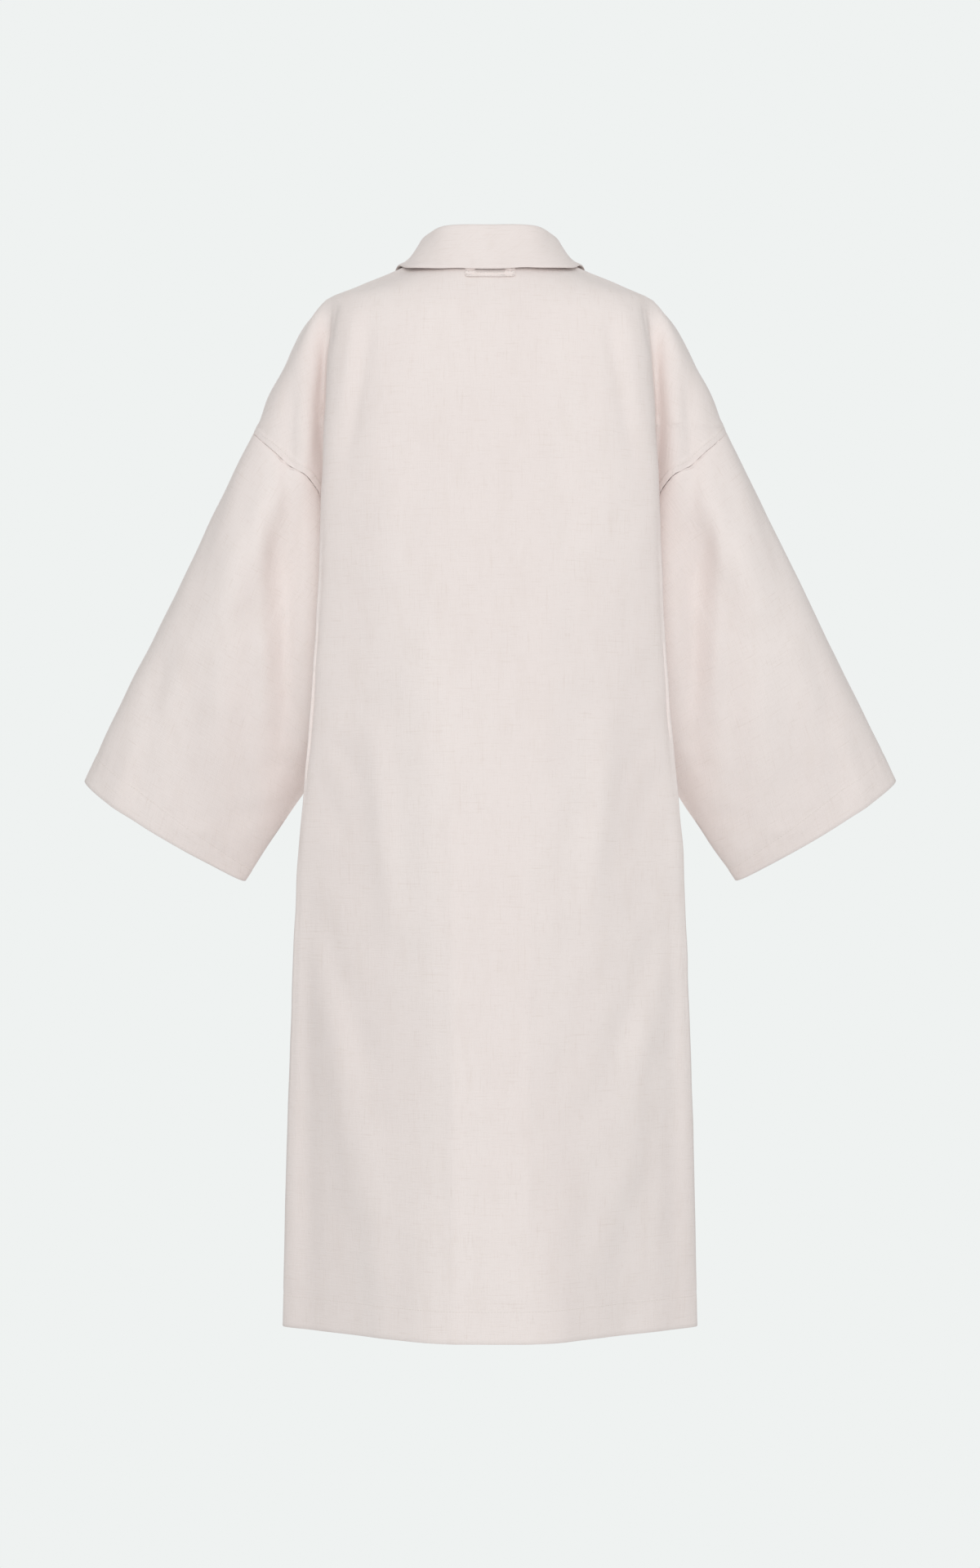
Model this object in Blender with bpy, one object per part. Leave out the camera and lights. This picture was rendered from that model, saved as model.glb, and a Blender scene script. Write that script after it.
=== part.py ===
"""Long kimono shirt, worn and filled out, with its neck, sleeves and hem open.

The origin is the centre of the neck opening at the height of the side neck. +Z is up, the
front faces -Y and the wearer's left side is +X. The left half of each piece is worked out
from level sections and mirrored. Sizes are in centimetres, and every mesh is in metres.
"""

import functools
import math

import bmesh
import bpy
import numpy as np

CM = 0.01


def table(columns, *rows):
    """Gives a table as one array for each named column."""
    return dict(zip(columns.split(), np.array(rows, dtype=float).T))


# Driving sizes
CLOTH = 0.15          # wall of a panel
TURNED_CLOTH = 0.26   # wall where a hem or a cuff is turned in
COLLAR_CLOTH = 0.18   # wall of each leaf of the collar
SEAM_GAP = 0.03       # between two pieces at a seam
MITRE_LIMIT = 0.6     # keeps a wall from growing too far at a sharp seam
HEM_Z = -113.5
HEM_TURN = 3.5        # depth of the turned hem
CUFF_TURN = 3.3       # depth of the turned cuff
NECK_Z = 0.1          # side neck
NECK_DROP = {"back": 1.1, "front": 9.1}       # centre of the neckline below the side neck
DROP_ENDS_Z = {"back": -8.5, "front": -27.0}  # from here down the rows are level
DROP_CURVE = {"back": (2.0, 1.5), "front": (1.0, 3.0)}
TIP_Z = -17.3         # top of the armhole, on the dropped shoulder
SEAM_HIDES_Z = -28.0  # from here down the armhole seam lies in the valley
UNDERARM_Z = -51.0
FRONT_LAP = 1.5       # how far each front passes the centre
LAP_FADE = 4.5        # where the under front has come up level again
LAP_STEP = 0.32       # how far in it lies
SIDE_TUCK = 0.5       # how far the cloth draws in beside the shoulder line
SIDE_TUCK_FADE = 3.0  # depth below the side neck where it does so in full
SIDE_SHARE = 0.62     # where, between the shoulder line and the crest over the arm

# Corner rounding of a level section
ROUNDS = {"facet": 3.2, "blade": 4.0, "fold": 1.5, "valley": 0.9, "ridge": 1.8, "side": 3.4}

# Sleeve: corners of the cuff, half its depth, and how far the cloth swells on the way
CUFF_OUTER = (44.2, -6.5, -55.0)
CUFF_INNER = (26.7, -6.5, -66.0)
CUFF_HALF_DEPTH = 4.6
CUFF_FULLER_OUTSIDE = 0.2
CUFF_LEAN = 0.14
SLEEVE_SWELL = {"back": 2.3, "front": 1.0}
SWELL_EARLY = 0.6      # below 1, the swell is fullest nearer the armhole
SWELL_BREADTH = 0.7    # below 1, it is broader round the sleeve

# Hanger loop
LOOP_HALF_WIDTH = 2.6
LOOP_END_WIDTH = 1.0
LOOP_BAND = 0.5
LOOP_TOP_Z = -1.15
LOOP_BOTTOM_Z = -2.3
LOOP_CLOTH = 0.12
LOOP_LIFT = 0.05

# Buttons
BUTTON_RADIUS = 0.58
BUTTON_THICK = 0.24
BUTTON_TOP_Z = -11.5
BUTTON_STEP = 12.0
BUTTON_COUNT = 6
BUTTON_SIDES = 16
BUTTON_PROFILE = table(
    "radius height",
    (0.0,   0.0),
    (0.8,   0.0),
    (1.0,   0.35),
    (1.0,   0.75),
    (0.88,  1.0),
    (0.72,  0.72),
    (0.0,   0.66),
)

# Mesh density
HALF_COLUMNS = 20
FOLD_COLUMN = 12      # the column that runs down the crest of the fold
RINGS = 11
RING_CROWDING = 1.15
EDGE_STEP = 0.4        # between the two rows where a hem or a cuff turns
SHARP_ANGLE = 40
COLLAR_SHORTEST_STEP = 1.1
COLLAR_LONGEST_STEP = 1.9
COLLAR_STRAIGHT = math.cos(math.radians(16))
CORNER_STEPS = 7
FOLD_MIDDLE = 1 + 2 * CORNER_STEPS + CORNER_STEPS // 2  # places in a section's list of points
VALLEY_MIDDLE = FOLD_MIDDLE + CORNER_STEPS

# Heights of the rows of the body's panels at their outer edge, below the neckline row
LEVELS = (-0.6, -1.3, -2.6, -4.2, -6.2, -8.5, -11.0, -14.0, TIP_Z, -17.8, -18.5, -19.5,
          -20.7, -22.0, -23.3, -24.6, -26.2, -28.0, -32.0, -37.5, -44.0, UNDERARM_Z,
          -57.0, -64.0, -74.0, -88.0, -102.0, HEM_Z + HEM_TURN + EDGE_STEP / 2,
          HEM_Z + HEM_TURN - EDGE_STEP / 2, HEM_Z)


# The shoulder line and, below it, the outer line of the arm
SHOULDER = table(
    "z      x      y",
    (0.1,   8.4,   0.4),
    (-0.6,  10.1,  0.4),
    (-1.05, 11.1,  0.4),
    (-2.4,  14.4,  0.3),
    (-4.2,  17.9,  0.2),
    (-6.2,  19.8,  0.0),
    (-8.5,  21.1, -0.2),
    (-11.0, 22.3, -0.4),
    (-14.0, 23.9, -0.7),
    (-17.3, 25.1, -1.0),
    (-21.0, 27.1, -1.5),
    (-27.0, 30.1, -2.4),
)

# The middle of each side: its depth, and the half-width that lies flat
BACK_MIDDLE = table(
    "z      y      facet_x",
    (0.1,   7.0,   3.0),
    (-1.0,  8.0,   3.8),
    (-2.4,  9.1,   4.8),
    (-6.2,  10.9,  6.5),
    (-14.0, 12.2,  7.6),
    (-35.0, 12.6,  7.4),
    (-64.0, 12.8,  6.4),
    (-114., 13.8,  5.9),
)
FRONT_MIDDLE = table(
    "z      y      facet_x",
    (0.1,  -6.6,   2.6),
    (-4.0, -8.8,   4.8),
    (-9.0, -10.3,  6.4),
    (-17.0, -11.3, 7.4),
    (-35.0, -11.7, 7.4),
    (-64.0, -11.9, 6.4),
    (-114., -12.1, 5.8),
)

# The deep fold that runs from the shoulder down each side of the back and of the front
BACK_FOLD = table(
    "z      blade_x blade_y fold_x fold_y",
    (0.1,   5.0,    5.9,    6.9,   4.4),
    (-1.0,  6.8,    6.6,    9.1,   4.2),
    (-2.4,  9.4,    7.5,    12.1,  4.9),
    (-4.2,  12.2,   8.5,    15.7,  6.0),
    (-6.2,  13.2,   9.3,    16.2,  7.4),
    (-9.0,  13.6,   9.9,    16.5,  8.4),
    (-14.0, 13.9,   10.4,   16.9,  8.9),
    (-24.0, 14.3,   10.1,   17.9,  8.0),
    (-38.0, 14.6,   9.1,    18.8,  6.6),
    (-51.0, 14.8,   8.2,    19.9,  5.4),
    (-64.0, 14.7,   7.7,    20.95, 3.9),
    (-94.0, 14.2,   7.4,    21.9,  1.9),
    (-114., 14.0,   7.4,    22.2,  1.0),
)
FRONT_FOLD = table(
    "z      blade_x blade_y fold_x fold_y",
    (0.1,   5.6,   -5.6,    7.5,  -4.0),
    (-1.0,  7.3,   -6.3,    9.6,  -4.1),
    (-2.4,  9.8,   -7.1,    12.5, -4.7),
    (-4.2,  12.0,  -8.0,    15.7, -5.8),
    (-8.5,  12.8,  -9.2,    16.1, -7.7),
    (-14.0, 13.4,  -9.8,    16.6, -8.5),
    (-24.0, 13.8,  -9.9,    17.2, -8.6),
    (-38.0, 14.0,  -9.4,    17.6, -8.3),
    (-51.0, 14.2,  -8.9,    18.2, -7.6),
    (-64.0, 14.4,  -7.9,    19.8, -5.6),
    (-94.0, 14.2,  -6.8,    21.7, -2.4),
    (-114., 14.0,  -6.4,    22.2, -1.0),
)

# The valley beside the fold, then the crest over the arm. Where the seam is hidden, the
# valley is the armhole seam, and below the underarm it is the side seam
BACK_VALLEY = table(
    "z      valley_x valley_y ridge_x ridge_y",
    (0.1,   8.0,     3.4,     8.3,    2.2),
    (-1.0,  10.3,    3.3,     10.7,   2.2),
    (-2.4,  13.6,    3.6,     14.2,   2.3),
    (-4.2,  17.0,    4.3,     17.8,   3.2),
    (-6.2,  17.1,    5.0,     18.9,   4.8),
    (-8.5,  17.2,    4.8,     19.4,   5.9),
    (-11.0, 17.4,    4.4,     19.8,   6.4),
    (-14.0, 17.5,    4.1,     20.1,   6.6),
    (-17.3, 17.6,    3.8,     20.3,   6.6),
    (-21.0, 17.5,    3.6,     20.3,   6.2),
    (-27.0, 17.1,    3.2,     20.2,   5.6),
    (-35.0, 16.8,    2.5,     20.0,   5.0),
    (-45.0, 16.5,    0.8,     20.0,   5.0),
    (-51.0, 16.5,   -1.0,     20.0,   5.0),
    (-57.0, 17.9,   -0.9,     20.0,   5.0),
    (-64.0, 19.1,   -0.8,     20.0,   5.0),
    (-76.0, 20.5,   -0.6,     20.0,   5.0),
    (-94.0, 21.6,   -0.3,     20.0,   5.0),
    (-114., 22.25,   0.0,     20.0,   5.0),
)
FRONT_VALLEY = table(
    "z      valley_x valley_y ridge_x ridge_y",
    (0.1,   8.2,    -2.4,     8.35,  -1.4),
    (-1.0,  10.5,   -2.6,     10.9,  -1.5),
    (-2.4,  13.7,   -3.1,     14.2,  -1.8),
    (-4.2,  16.9,   -4.3,     17.7,  -3.0),
    (-6.2,  16.9,   -5.2,     18.7,  -4.9),
    (-8.5,  17.0,   -5.2,     19.4,  -6.2),
    (-11.0, 17.2,   -5.0,     19.9,  -7.0),
    (-14.0, 17.4,   -4.8,     20.3,  -7.5),
    (-17.3, 17.5,   -4.7,     20.6,  -7.8),
    (-21.0, 17.4,   -4.6,     20.8,  -7.8),
    (-27.0, 17.0,   -4.4,     20.8,  -7.6),
    (-35.0, 16.8,   -3.9,     20.0,  -6.0),
    (-45.0, 16.5,   -2.6,     20.0,  -6.0),
    (-51.0, 16.5,   -1.0,     20.0,  -6.0),
    (-57.0, 17.9,   -0.9,     20.0,  -6.0),
    (-64.0, 19.1,   -0.8,     20.0,  -6.0),
    (-76.0, 20.5,   -0.6,     20.0,  -6.0),
    (-94.0, 21.6,   -0.3,     20.0,  -6.0),
    (-114., 22.25,   0.0,     20.0,  -6.0),
)

# How far past the valley the armhole seam lies, where it crosses the arm
SEAM_RUN = table(
    "z      back   front",
    (-17.3, 14.0,  15.0),
    (-17.8, 10.8,  11.6),
    (-18.5, 8.8,   9.6),
    (-19.5, 7.1,   7.9),
    (-20.7, 5.4,   6.1),
    (-22.0, 3.6,   4.2),
    (-23.3, 2.0,   2.3),
    (-24.6, 0.9,   1.0),
    (-26.2, 0.3,   0.3),
    (-28.0, 0.0,   0.0),
)

# The collar by its share of the half neckline, from the centre back to the front end: the
# roll's height and its lean towards the neck, then the fall's edge at the back
ROLL = table(
    "share  z      lean",
    (0.0,   3.4,   1.1),
    (0.11,  3.45,  1.1),
    (0.18,  3.42,  1.05),
    (0.25,  3.05,  1.45),
    (0.36,  2.3,   1.65),
    (0.48,  1.7,   1.5),
    (0.62,  0.3,   1.2),
    (0.82,  -3.1,  0.9),
    (0.93,  -5.7,  0.6),
    (1.0,   -7.35, 0.4),
)
FALL_BACK = table(
    "share  x      y      z",
    (0.0,   0.0,   9.3,  -1.35),
    (0.2,   5.4,   8.6,  -1.25),
    (0.32,  8.8,   5.6,  -0.8),
    (0.44,  9.75,  0.8,  -0.15),
)

# Where the fall's edge lies on the front: its height, and how far round from the centre
FALL_FRONT = table(
    "share  z      run",
    (0.44, -0.5,   13.5),
    (0.5,  -0.7,   12.3),
    (0.56, -1.1,   11.4),
    (0.65, -2.4,   10.5),
    (0.77, -5.2,   9.4),
    (0.9,  -9.3,   7.6),
    (1.0,  -13.3,  5.6),
)
FALL_LIFT = 0.42
ROLL_HALF_WIDTH = 0.28
COLLAR_END_X = 0.3
COLLAR_SMOOTHINGS = 2
STAND_STEPS = (0, 0.5)               # rows of points up the stand
FALL_STEPS = (0.14, 0.34, 0.67, 1)   # and down the fall
PATCH_COLUMNS = 41                   # the cloth near the neck that the fall is kept off
PATCH_BOTTOM_Z = -16.0
PATCH_STEP = 0.6


def follow(rows, name, at):
    """Reads a column at a place along the first one: smooth, with no overshoot."""
    places = next(iter(rows.values()))
    order = np.argsort(places)
    places, values = places[order], rows[name][order]
    gaps = np.diff(places)
    slopes = np.diff(values) / gaps
    tangents = np.concatenate((slopes[:1], np.zeros(len(slopes) - 1), slopes[-1:]))
    for k in range(1, len(slopes)):
        if slopes[k - 1] * slopes[k] > 0:
            tangents[k] = 2 * slopes[k - 1] * slopes[k] / (slopes[k - 1] + slopes[k])
    k = int(np.clip(np.searchsorted(places, at) - 1, 0, len(slopes) - 1))
    t = float(np.clip((at - places[k]) / gaps[k], 0, 1))
    low = (1 + 2 * t) * (1 - t) ** 2 * values[k] + t * (1 - t) ** 2 * gaps[k] * tangents[k]
    high = t * t * (3 - 2 * t) * values[k + 1] - t * t * (1 - t) * gaps[k] * tangents[k + 1]
    return low + high


def rounded_path(corners, sizes):
    """Joins corners by straight runs, each inner corner rounded by its own size."""
    corners = [np.array(corner, dtype=float) for corner in corners]
    points = [corners[0]]
    for before, here, after, size in zip(corners, corners[1:], corners[2:], sizes):
        start = here + (before - here) * min(size / np.linalg.norm(before - here), 0.5)
        end = here + (after - here) * min(size / np.linalg.norm(after - here), 0.5)
        for t in np.linspace(0, 1, CORNER_STEPS):
            points.append((1 - t) ** 2 * start + 2 * t * (1 - t) * here + t * t * end)
    points.append(corners[-1])
    return np.array(points)


def run_lengths(path):
    """The distance along a path to each of its points."""
    return np.concatenate(([0.0], np.cumsum(np.linalg.norm(np.diff(path, axis=0), axis=1))))


def along(path, run):
    """The point of a path at a distance along it."""
    runs = run_lengths(path)
    return np.array([np.interp(run, runs, path[:, axis]) for axis in range(path.shape[1])])


@functools.lru_cache(maxsize=None)
def half_section(side, z):
    """The cloth's level section at z, from the centre to the panel's outer edge."""
    back = side == "back"
    middle, fold, valley = (
        (BACK_MIDDLE, BACK_FOLD, BACK_VALLEY) if back else (FRONT_MIDDLE, FRONT_FOLD, FRONT_VALLEY)
    )
    y = follow(middle, "y", z)
    corners = [(0, y), (follow(middle, "facet_x", z), y)]
    corners += [(follow(fold, name + "_x", z), follow(fold, name + "_y", z)) for name in ("blade", "fold")]
    corners.append((follow(valley, "valley_x", z), follow(valley, "valley_y", z)))
    sizes = [ROUNDS["facet"], ROUNDS["blade"], ROUNDS["fold"]]
    if z <= SEAM_HIDES_Z:
        return rounded_path(corners, sizes)
    edge = np.array((follow(SHOULDER, "x", z), follow(SHOULDER, "y", z)))
    ridge = np.array((follow(valley, "ridge_x", z), follow(valley, "ridge_y", z)))
    tuck = SIDE_TUCK * min(1, (NECK_Z - z) / SIDE_TUCK_FADE)
    corners += [ridge, (edge[0] - tuck, edge[1] + SIDE_SHARE * (ridge[1] - edge[1])), edge]
    valley_round = ROUNDS["valley"] * min(1, (z - SEAM_HIDES_Z) / (TIP_Z - SEAM_HIDES_Z)) + 1e-4
    path = rounded_path(corners, sizes + [valley_round, ROUNDS["ridge"], ROUNDS["side"]])
    if z >= TIP_Z:
        return path
    runs = run_lengths(path)
    end = min(runs[-1], runs[VALLEY_MIDDLE] + follow(SEAM_RUN, side, z))
    return np.vstack((path[runs < end - 1e-6], along(path, end)))


def level_point(side, run, z):
    """A point of the front or back at a distance from its centre, along its level section."""
    x, y = along(half_section(side, z), run)
    return np.array((x, y, z))


def cloth_point(side, share, z):
    """A point of the front or back by its share of the columns, from centre to edge."""
    runs = run_lengths(half_section(side, z))
    shares = (0, FOLD_COLUMN / HALF_COLUMNS, 1)
    return level_point(side, np.interp(share, shares, (0, runs[FOLD_MIDDLE], runs[-1])), z)


def row_point(side, share, edge_z):
    """A point of the row that meets the panel's outer edge at edge_z."""
    fade = max(0.0, 1 - (NECK_Z - edge_z) / (NECK_Z - DROP_ENDS_Z[side]))
    roundness, depth = DROP_CURVE[side]
    drop = NECK_DROP[side] * fade * (1 - share ** roundness) ** depth
    return cloth_point(side, share, round(edge_z - drop, 6))


def unit(vector):
    """The vector at length one."""
    return vector / np.linalg.norm(vector)


def lifted(side, run, z, lift):
    """A point of the front or back moved out from the cloth."""
    step = 0.2
    across = level_point(side, run + step, z) - level_point(side, max(run - step, 0), z)
    down = level_point(side, run, z - step) - level_point(side, run, z + step)
    out = unit(np.cross(across, down)) * (1 if side == "back" else -1)
    return level_point(side, run, z) + out * lift


def body_grid(side):
    """Rows of points over one half of the back or the front, from the centre outwards."""
    shares = np.linspace(0, 1, HALF_COLUMNS + 1)
    rows = [[row_point(side, share, z) for share in shares] for z in (NECK_Z,) + LEVELS]
    return np.array(rows)


def cuff_path(side):
    """Half of the cuff's edge, from its outer corner to its inner one."""
    outer, inner = np.array(CUFF_OUTER), np.array(CUFF_INNER)
    half = np.linalg.norm(inner - outer) / 2
    across = unit(inner - outer)
    down = np.array((-across[2], 0, across[0])) * (-1 if across[0] > 0 else 1)
    swell = unit(np.array((0, 1, 0)) + CUFF_LEAN * down) * (1 if side == "back" else -1)
    turns = np.linspace(0, math.pi, 60)
    return np.array([
        outer + across * half * (1 - math.cos(turn))
        + swell * CUFF_HALF_DEPTH * math.sin(turn) * (1 + CUFF_FULLER_OUTSIDE * math.cos(turn))
        for turn in turns
    ])


def sleeve_half(side, seam):
    """Rings of points over one side of the sleeve, from its armhole seam to the cuff."""
    shares = run_lengths(seam) / run_lengths(seam)[-1]
    cuff = cuff_path(side)
    cuff_points = np.array([along(cuff, share * run_lengths(cuff)[-1]) for share in shares])
    out = np.array((0, 1 if side == "back" else -1, 0))
    rings = []
    for way in ring_ways():
        swell = SLEEVE_SWELL[side] * math.sin(math.pi * way ** SWELL_EARLY)
        lift = np.sin(math.pi * np.clip(shares, 0, 1)) ** SWELL_BREADTH * swell
        rings.append((1 - way) * seam + way * cuff_points + lift[:, None] * out)
    return np.array(rings)


def ring_ways():
    """How far down the sleeve each ring lies, with two close ones where the cuff turns."""
    length = np.linalg.norm(np.array(CUFF_OUTER) - cloth_point("back", 1, TIP_Z))
    turn = 1 - CUFF_TURN / length
    step = EDGE_STEP / 2 / length
    ways = list(np.linspace(0, 1, RINGS) ** RING_CROWDING * (turn - step))
    return ways + [turn + step, 1.0]


def normals_of(grid, closed, sign):
    """The cloth's outward direction at each point of a grid."""
    if closed:
        across = np.roll(grid, -1, axis=1) - np.roll(grid, 1, axis=1)
    else:
        across = np.gradient(grid, axis=1)
    normals = np.cross(across, np.gradient(grid, axis=0)) * sign
    return normals / np.linalg.norm(normals, axis=2, keepdims=True)


def shared(*normals):
    """The one direction, mitred, that pieces meeting at a seam are thickened in."""
    middle = unit(sum(normals))
    return middle / max(MITRE_LIMIT, min(middle @ normal for normal in normals))


def thickened(grid, seam, walls):
    """The inner points of a wall."""
    return grid - seam * walls[:, None, None]


def gap_steps(edge, neighbours, vectors, closed=False):
    """How far each point of a seam moves into its own piece, square to the mitred joint."""
    run = np.roll(edge, -1, axis=0) - np.roll(edge, 1, axis=0) if closed else np.gradient(edge, axis=0)
    aside = np.cross(run, vectors)
    aside /= np.linalg.norm(aside, axis=1, keepdims=True)
    return aside * (SEAM_GAP / 2) * np.sign(np.sum(aside * (neighbours - edge), axis=1))[:, None]


def mirrored(points):
    """The same points on the wearer's right."""
    return points * np.array((-1, 1, 1))


def left_half():
    """Outer and inner grids of the back, front and left sleeve, sharing their seams."""
    back, front = body_grid("back"), body_grid("front")
    tip, underarm = 1 + LEVELS.index(TIP_Z), 1 + LEVELS.index(UNDERARM_Z)
    front[:, -1] = np.where(
        (np.arange(len(front)) <= tip)[:, None] | (np.arange(len(front)) >= underarm)[:, None],
        back[:, -1], front[:, -1],
    )
    back_sleeve = sleeve_half("back", back[tip:underarm + 1, -1])
    front_sleeve = sleeve_half("front", front[tip:underarm + 1, -1])
    sleeve = np.concatenate((back_sleeve, front_sleeve[:, -2:0:-1]), axis=1)
    own = {
        "back": normals_of(back, False, 1),
        "front": normals_of(front, False, -1),
        "sleeve": normals_of(sleeve, True, -1),
    }
    own["back"][:, 0, 0] = 0
    own["front"][:, 0, 0] = 0
    seam = {name: value.copy() for name, value in own.items()}
    bottom = underarm - tip
    for row in range(len(back)):
        meeting = [own["back"][row, -1], own["front"][row, -1]]
        if tip <= row <= underarm:
            around = row - tip
            meeting_back = [meeting[0], own["sleeve"][0, around]]
            meeting_front = [meeting[1], own["sleeve"][0, -around]]
            if row in (tip, underarm):
                meeting_back = meeting_front = [unit(sum(meeting)), own["sleeve"][0, around]]
            seam["back"][row, -1] = shared(*meeting_back)
            seam["front"][row, -1] = shared(*meeting_front)
            seam["sleeve"][0, around] = seam["back"][row, -1]
            if 0 < around < bottom:
                seam["sleeve"][0, -around] = seam["front"][row, -1]
        else:
            seam["back"][row, -1] = seam["front"][row, -1] = shared(*meeting)
    return {"back": back, "front": front, "sleeve": sleeve}, seam


def body_walls():
    """The wall of each row of a body panel: doubled where the hem is turned in."""
    heights = np.array((NECK_Z,) + LEVELS)
    return np.where(heights < HEM_Z + HEM_TURN, TURNED_CLOTH, CLOTH)


def material(name, colour, roughness):
    """A plain material with one colour."""
    made = bpy.data.materials.new(name)
    made.use_nodes = True
    shader = made.node_tree.nodes["Principled BSDF"]
    shader.inputs["Base Color"].default_value = (*colour, 1)
    shader.inputs["Roughness"].default_value = roughness
    shader.inputs["Metallic"].default_value = 0
    return made


def add_object(name, mesh, made):
    """Closes up one piece as an object of the scene."""
    bmesh.ops.recalc_face_normals(mesh, faces=mesh.faces)
    data = bpy.data.meshes.new(name)
    mesh.to_mesh(data)
    mesh.free()
    data.materials.append(made)
    data.shade_smooth()
    data.set_sharp_from_angle(angle=math.radians(SHARP_ANGLE))
    bpy.context.collection.objects.link(bpy.data.objects.new(name, data))


def add_wall(name, outer, inner, made, closed=False):
    """Makes one closed wall between an outer and an inner grid of points."""
    mesh = bmesh.new()
    sheets = [[[mesh.verts.new(point * CM) for point in row] for row in grid] for grid in (outer, inner)]
    rows, columns = outer.shape[:2]
    spans = [(k, (k + 1) % columns) for k in range(columns if closed else columns - 1)]
    for row in range(rows - 1):
        for a, b in spans:
            for sheet in sheets:
                mesh.faces.new((sheet[row][a], sheet[row][b], sheet[row + 1][b], sheet[row + 1][a]))
    for row in (0, rows - 1):
        for a, b in spans:
            add_rim(mesh, sheets[0][row][a], sheets[0][row][b], sheets[1][row][b], sheets[1][row][a])
    for column in () if closed else (0, columns - 1):
        for row in range(rows - 1):
            upper = (sheets[0][row][column], sheets[1][row][column])
            lower = (sheets[1][row + 1][column], sheets[0][row + 1][column])
            add_rim(mesh, *upper, *lower)
    add_object(name, mesh, made)


def add_rim(mesh, a, b, c, d):
    """One stretch of a wall's rim, split the same way on both sides of a seam."""
    if (a.co - c.co).length < (b.co - d.co).length:
        corners = ((a, b, c), (a, c, d))
    else:
        corners = ((b, c, d), (b, d, a))
    for three in corners:
        mesh.faces.new(three)


def body_sheets(side, grids, seam):
    """Outer and inner points of half a body panel, clear of its neighbours at the side."""
    outer = grids[side].copy()
    outer[:, -1] += gap_steps(outer[:, -1], outer[:, -2], seam[side][:, -1])
    return outer, thickened(outer, seam[side], body_walls())


def add_back(grids, seam, made):
    """The back, in one piece from side to side."""
    whole = [np.concatenate((mirrored(points[:, :0:-1]), points), axis=1)
             for points in body_sheets("back", grids, seam)]
    add_wall("back", *whole, made)


def with_lap(points):
    """Adds the cloth that passes the centre front."""
    edge = points[:, :1].copy()
    edge[:, :, 0] = -FRONT_LAP
    return np.concatenate((edge, points), axis=1)


def set_under(points):
    """Moves the under front in where the other front covers it."""
    share = np.clip((LAP_FADE - points[:, :, 0]) / (LAP_FADE - FRONT_LAP - SEAM_GAP), 0, 1)
    moved = points.copy()
    moved[:, :, 1] += LAP_STEP * share * share * (3 - 2 * share)
    return moved


def add_front(grids, seam, made, wearers_left):
    """One front, from its edge past the centre to the side."""
    sheets = [with_lap(points) for points in body_sheets("front", grids, seam)]
    if not wearers_left:
        sheets = [mirrored(set_under(points)) for points in sheets]
    add_wall("front_left" if wearers_left else "front_right", *sheets, made)


def add_sleeve(grids, seam, made, wearers_left):
    """One sleeve, a tube from the armhole seam to the cuff."""
    walls = np.full(len(grids["sleeve"]), CLOTH)
    walls[-2:] = TURNED_CLOTH
    outer = grids["sleeve"].copy()
    outer[0] += gap_steps(outer[0], outer[1], seam["sleeve"][0], closed=True)
    sheets = [outer, thickened(outer, seam["sleeve"], walls)]
    if not wearers_left:
        sheets = [mirrored(points) for points in sheets]
    add_wall("sleeve_left" if wearers_left else "sleeve_right", *sheets, made, closed=True)


def half_neckline(grids):
    """The neck seam from the centre back round to the collar's front end."""
    front = grids["front"][0]
    front = front[front[:, 0] > COLLAR_END_X][::-1][1:]
    nearest = front[-1]
    end = nearest + (grids["front"][0][0] - nearest) * (1 - COLLAR_END_X / nearest[0])
    whole = np.vstack((grids["back"][0], front, end))
    kept = [whole[0]]
    for point, after in zip(whole[1:], whole[2:]):
        step = np.linalg.norm(point - kept[-1])
        if step > COLLAR_LONGEST_STEP:
            kept.append((kept[-1] + point) / 2)
        straight = unit(point - kept[-1]) @ unit(after - point) > COLLAR_STRAIGHT
        if step > COLLAR_SHORTEST_STEP or not straight:
            kept.append(point)
    return np.array(kept + [(kept[-1] + end) / 2, end])


def fall_edge(share):
    """The collar's lower edge: hanging free at the back, lying on the front."""
    if share < FALL_FRONT["share"][0]:
        return np.array([follow(FALL_BACK, name, share) for name in "xyz"])
    z, run = follow(FALL_FRONT, "z", share), follow(FALL_FRONT, "run", share)
    return lifted("front", run, round(z, 6), FALL_LIFT)


@functools.lru_cache(maxsize=None)
def cloth_by_the_neck():
    """Close-set points of the cloth near the neck, and its outward direction at each."""
    points, normals = [], []
    for side, sign in (("back", 1), ("front", -1)):
        shares = np.linspace(0, 1, PATCH_COLUMNS)
        patch = np.array([[row_point(side, share, z) for share in shares]
                          for z in np.arange(NECK_Z, PATCH_BOTTOM_Z, -PATCH_STEP)])
        points.append(patch.reshape(-1, 3))
        normals.append(normals_of(patch, False, sign).reshape(-1, 3))
    return np.vstack(points), np.vstack(normals)


def kept_off(point, lift):
    """The point, moved out if it is nearer the cloth than lift."""
    points, normals = cloth_by_the_neck()
    nearest = np.argmin(np.linalg.norm(points - point, axis=1))
    height = (point - points[nearest]) @ normals[nearest]
    return point + normals[nearest] * max(0.0, lift - height)


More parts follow.
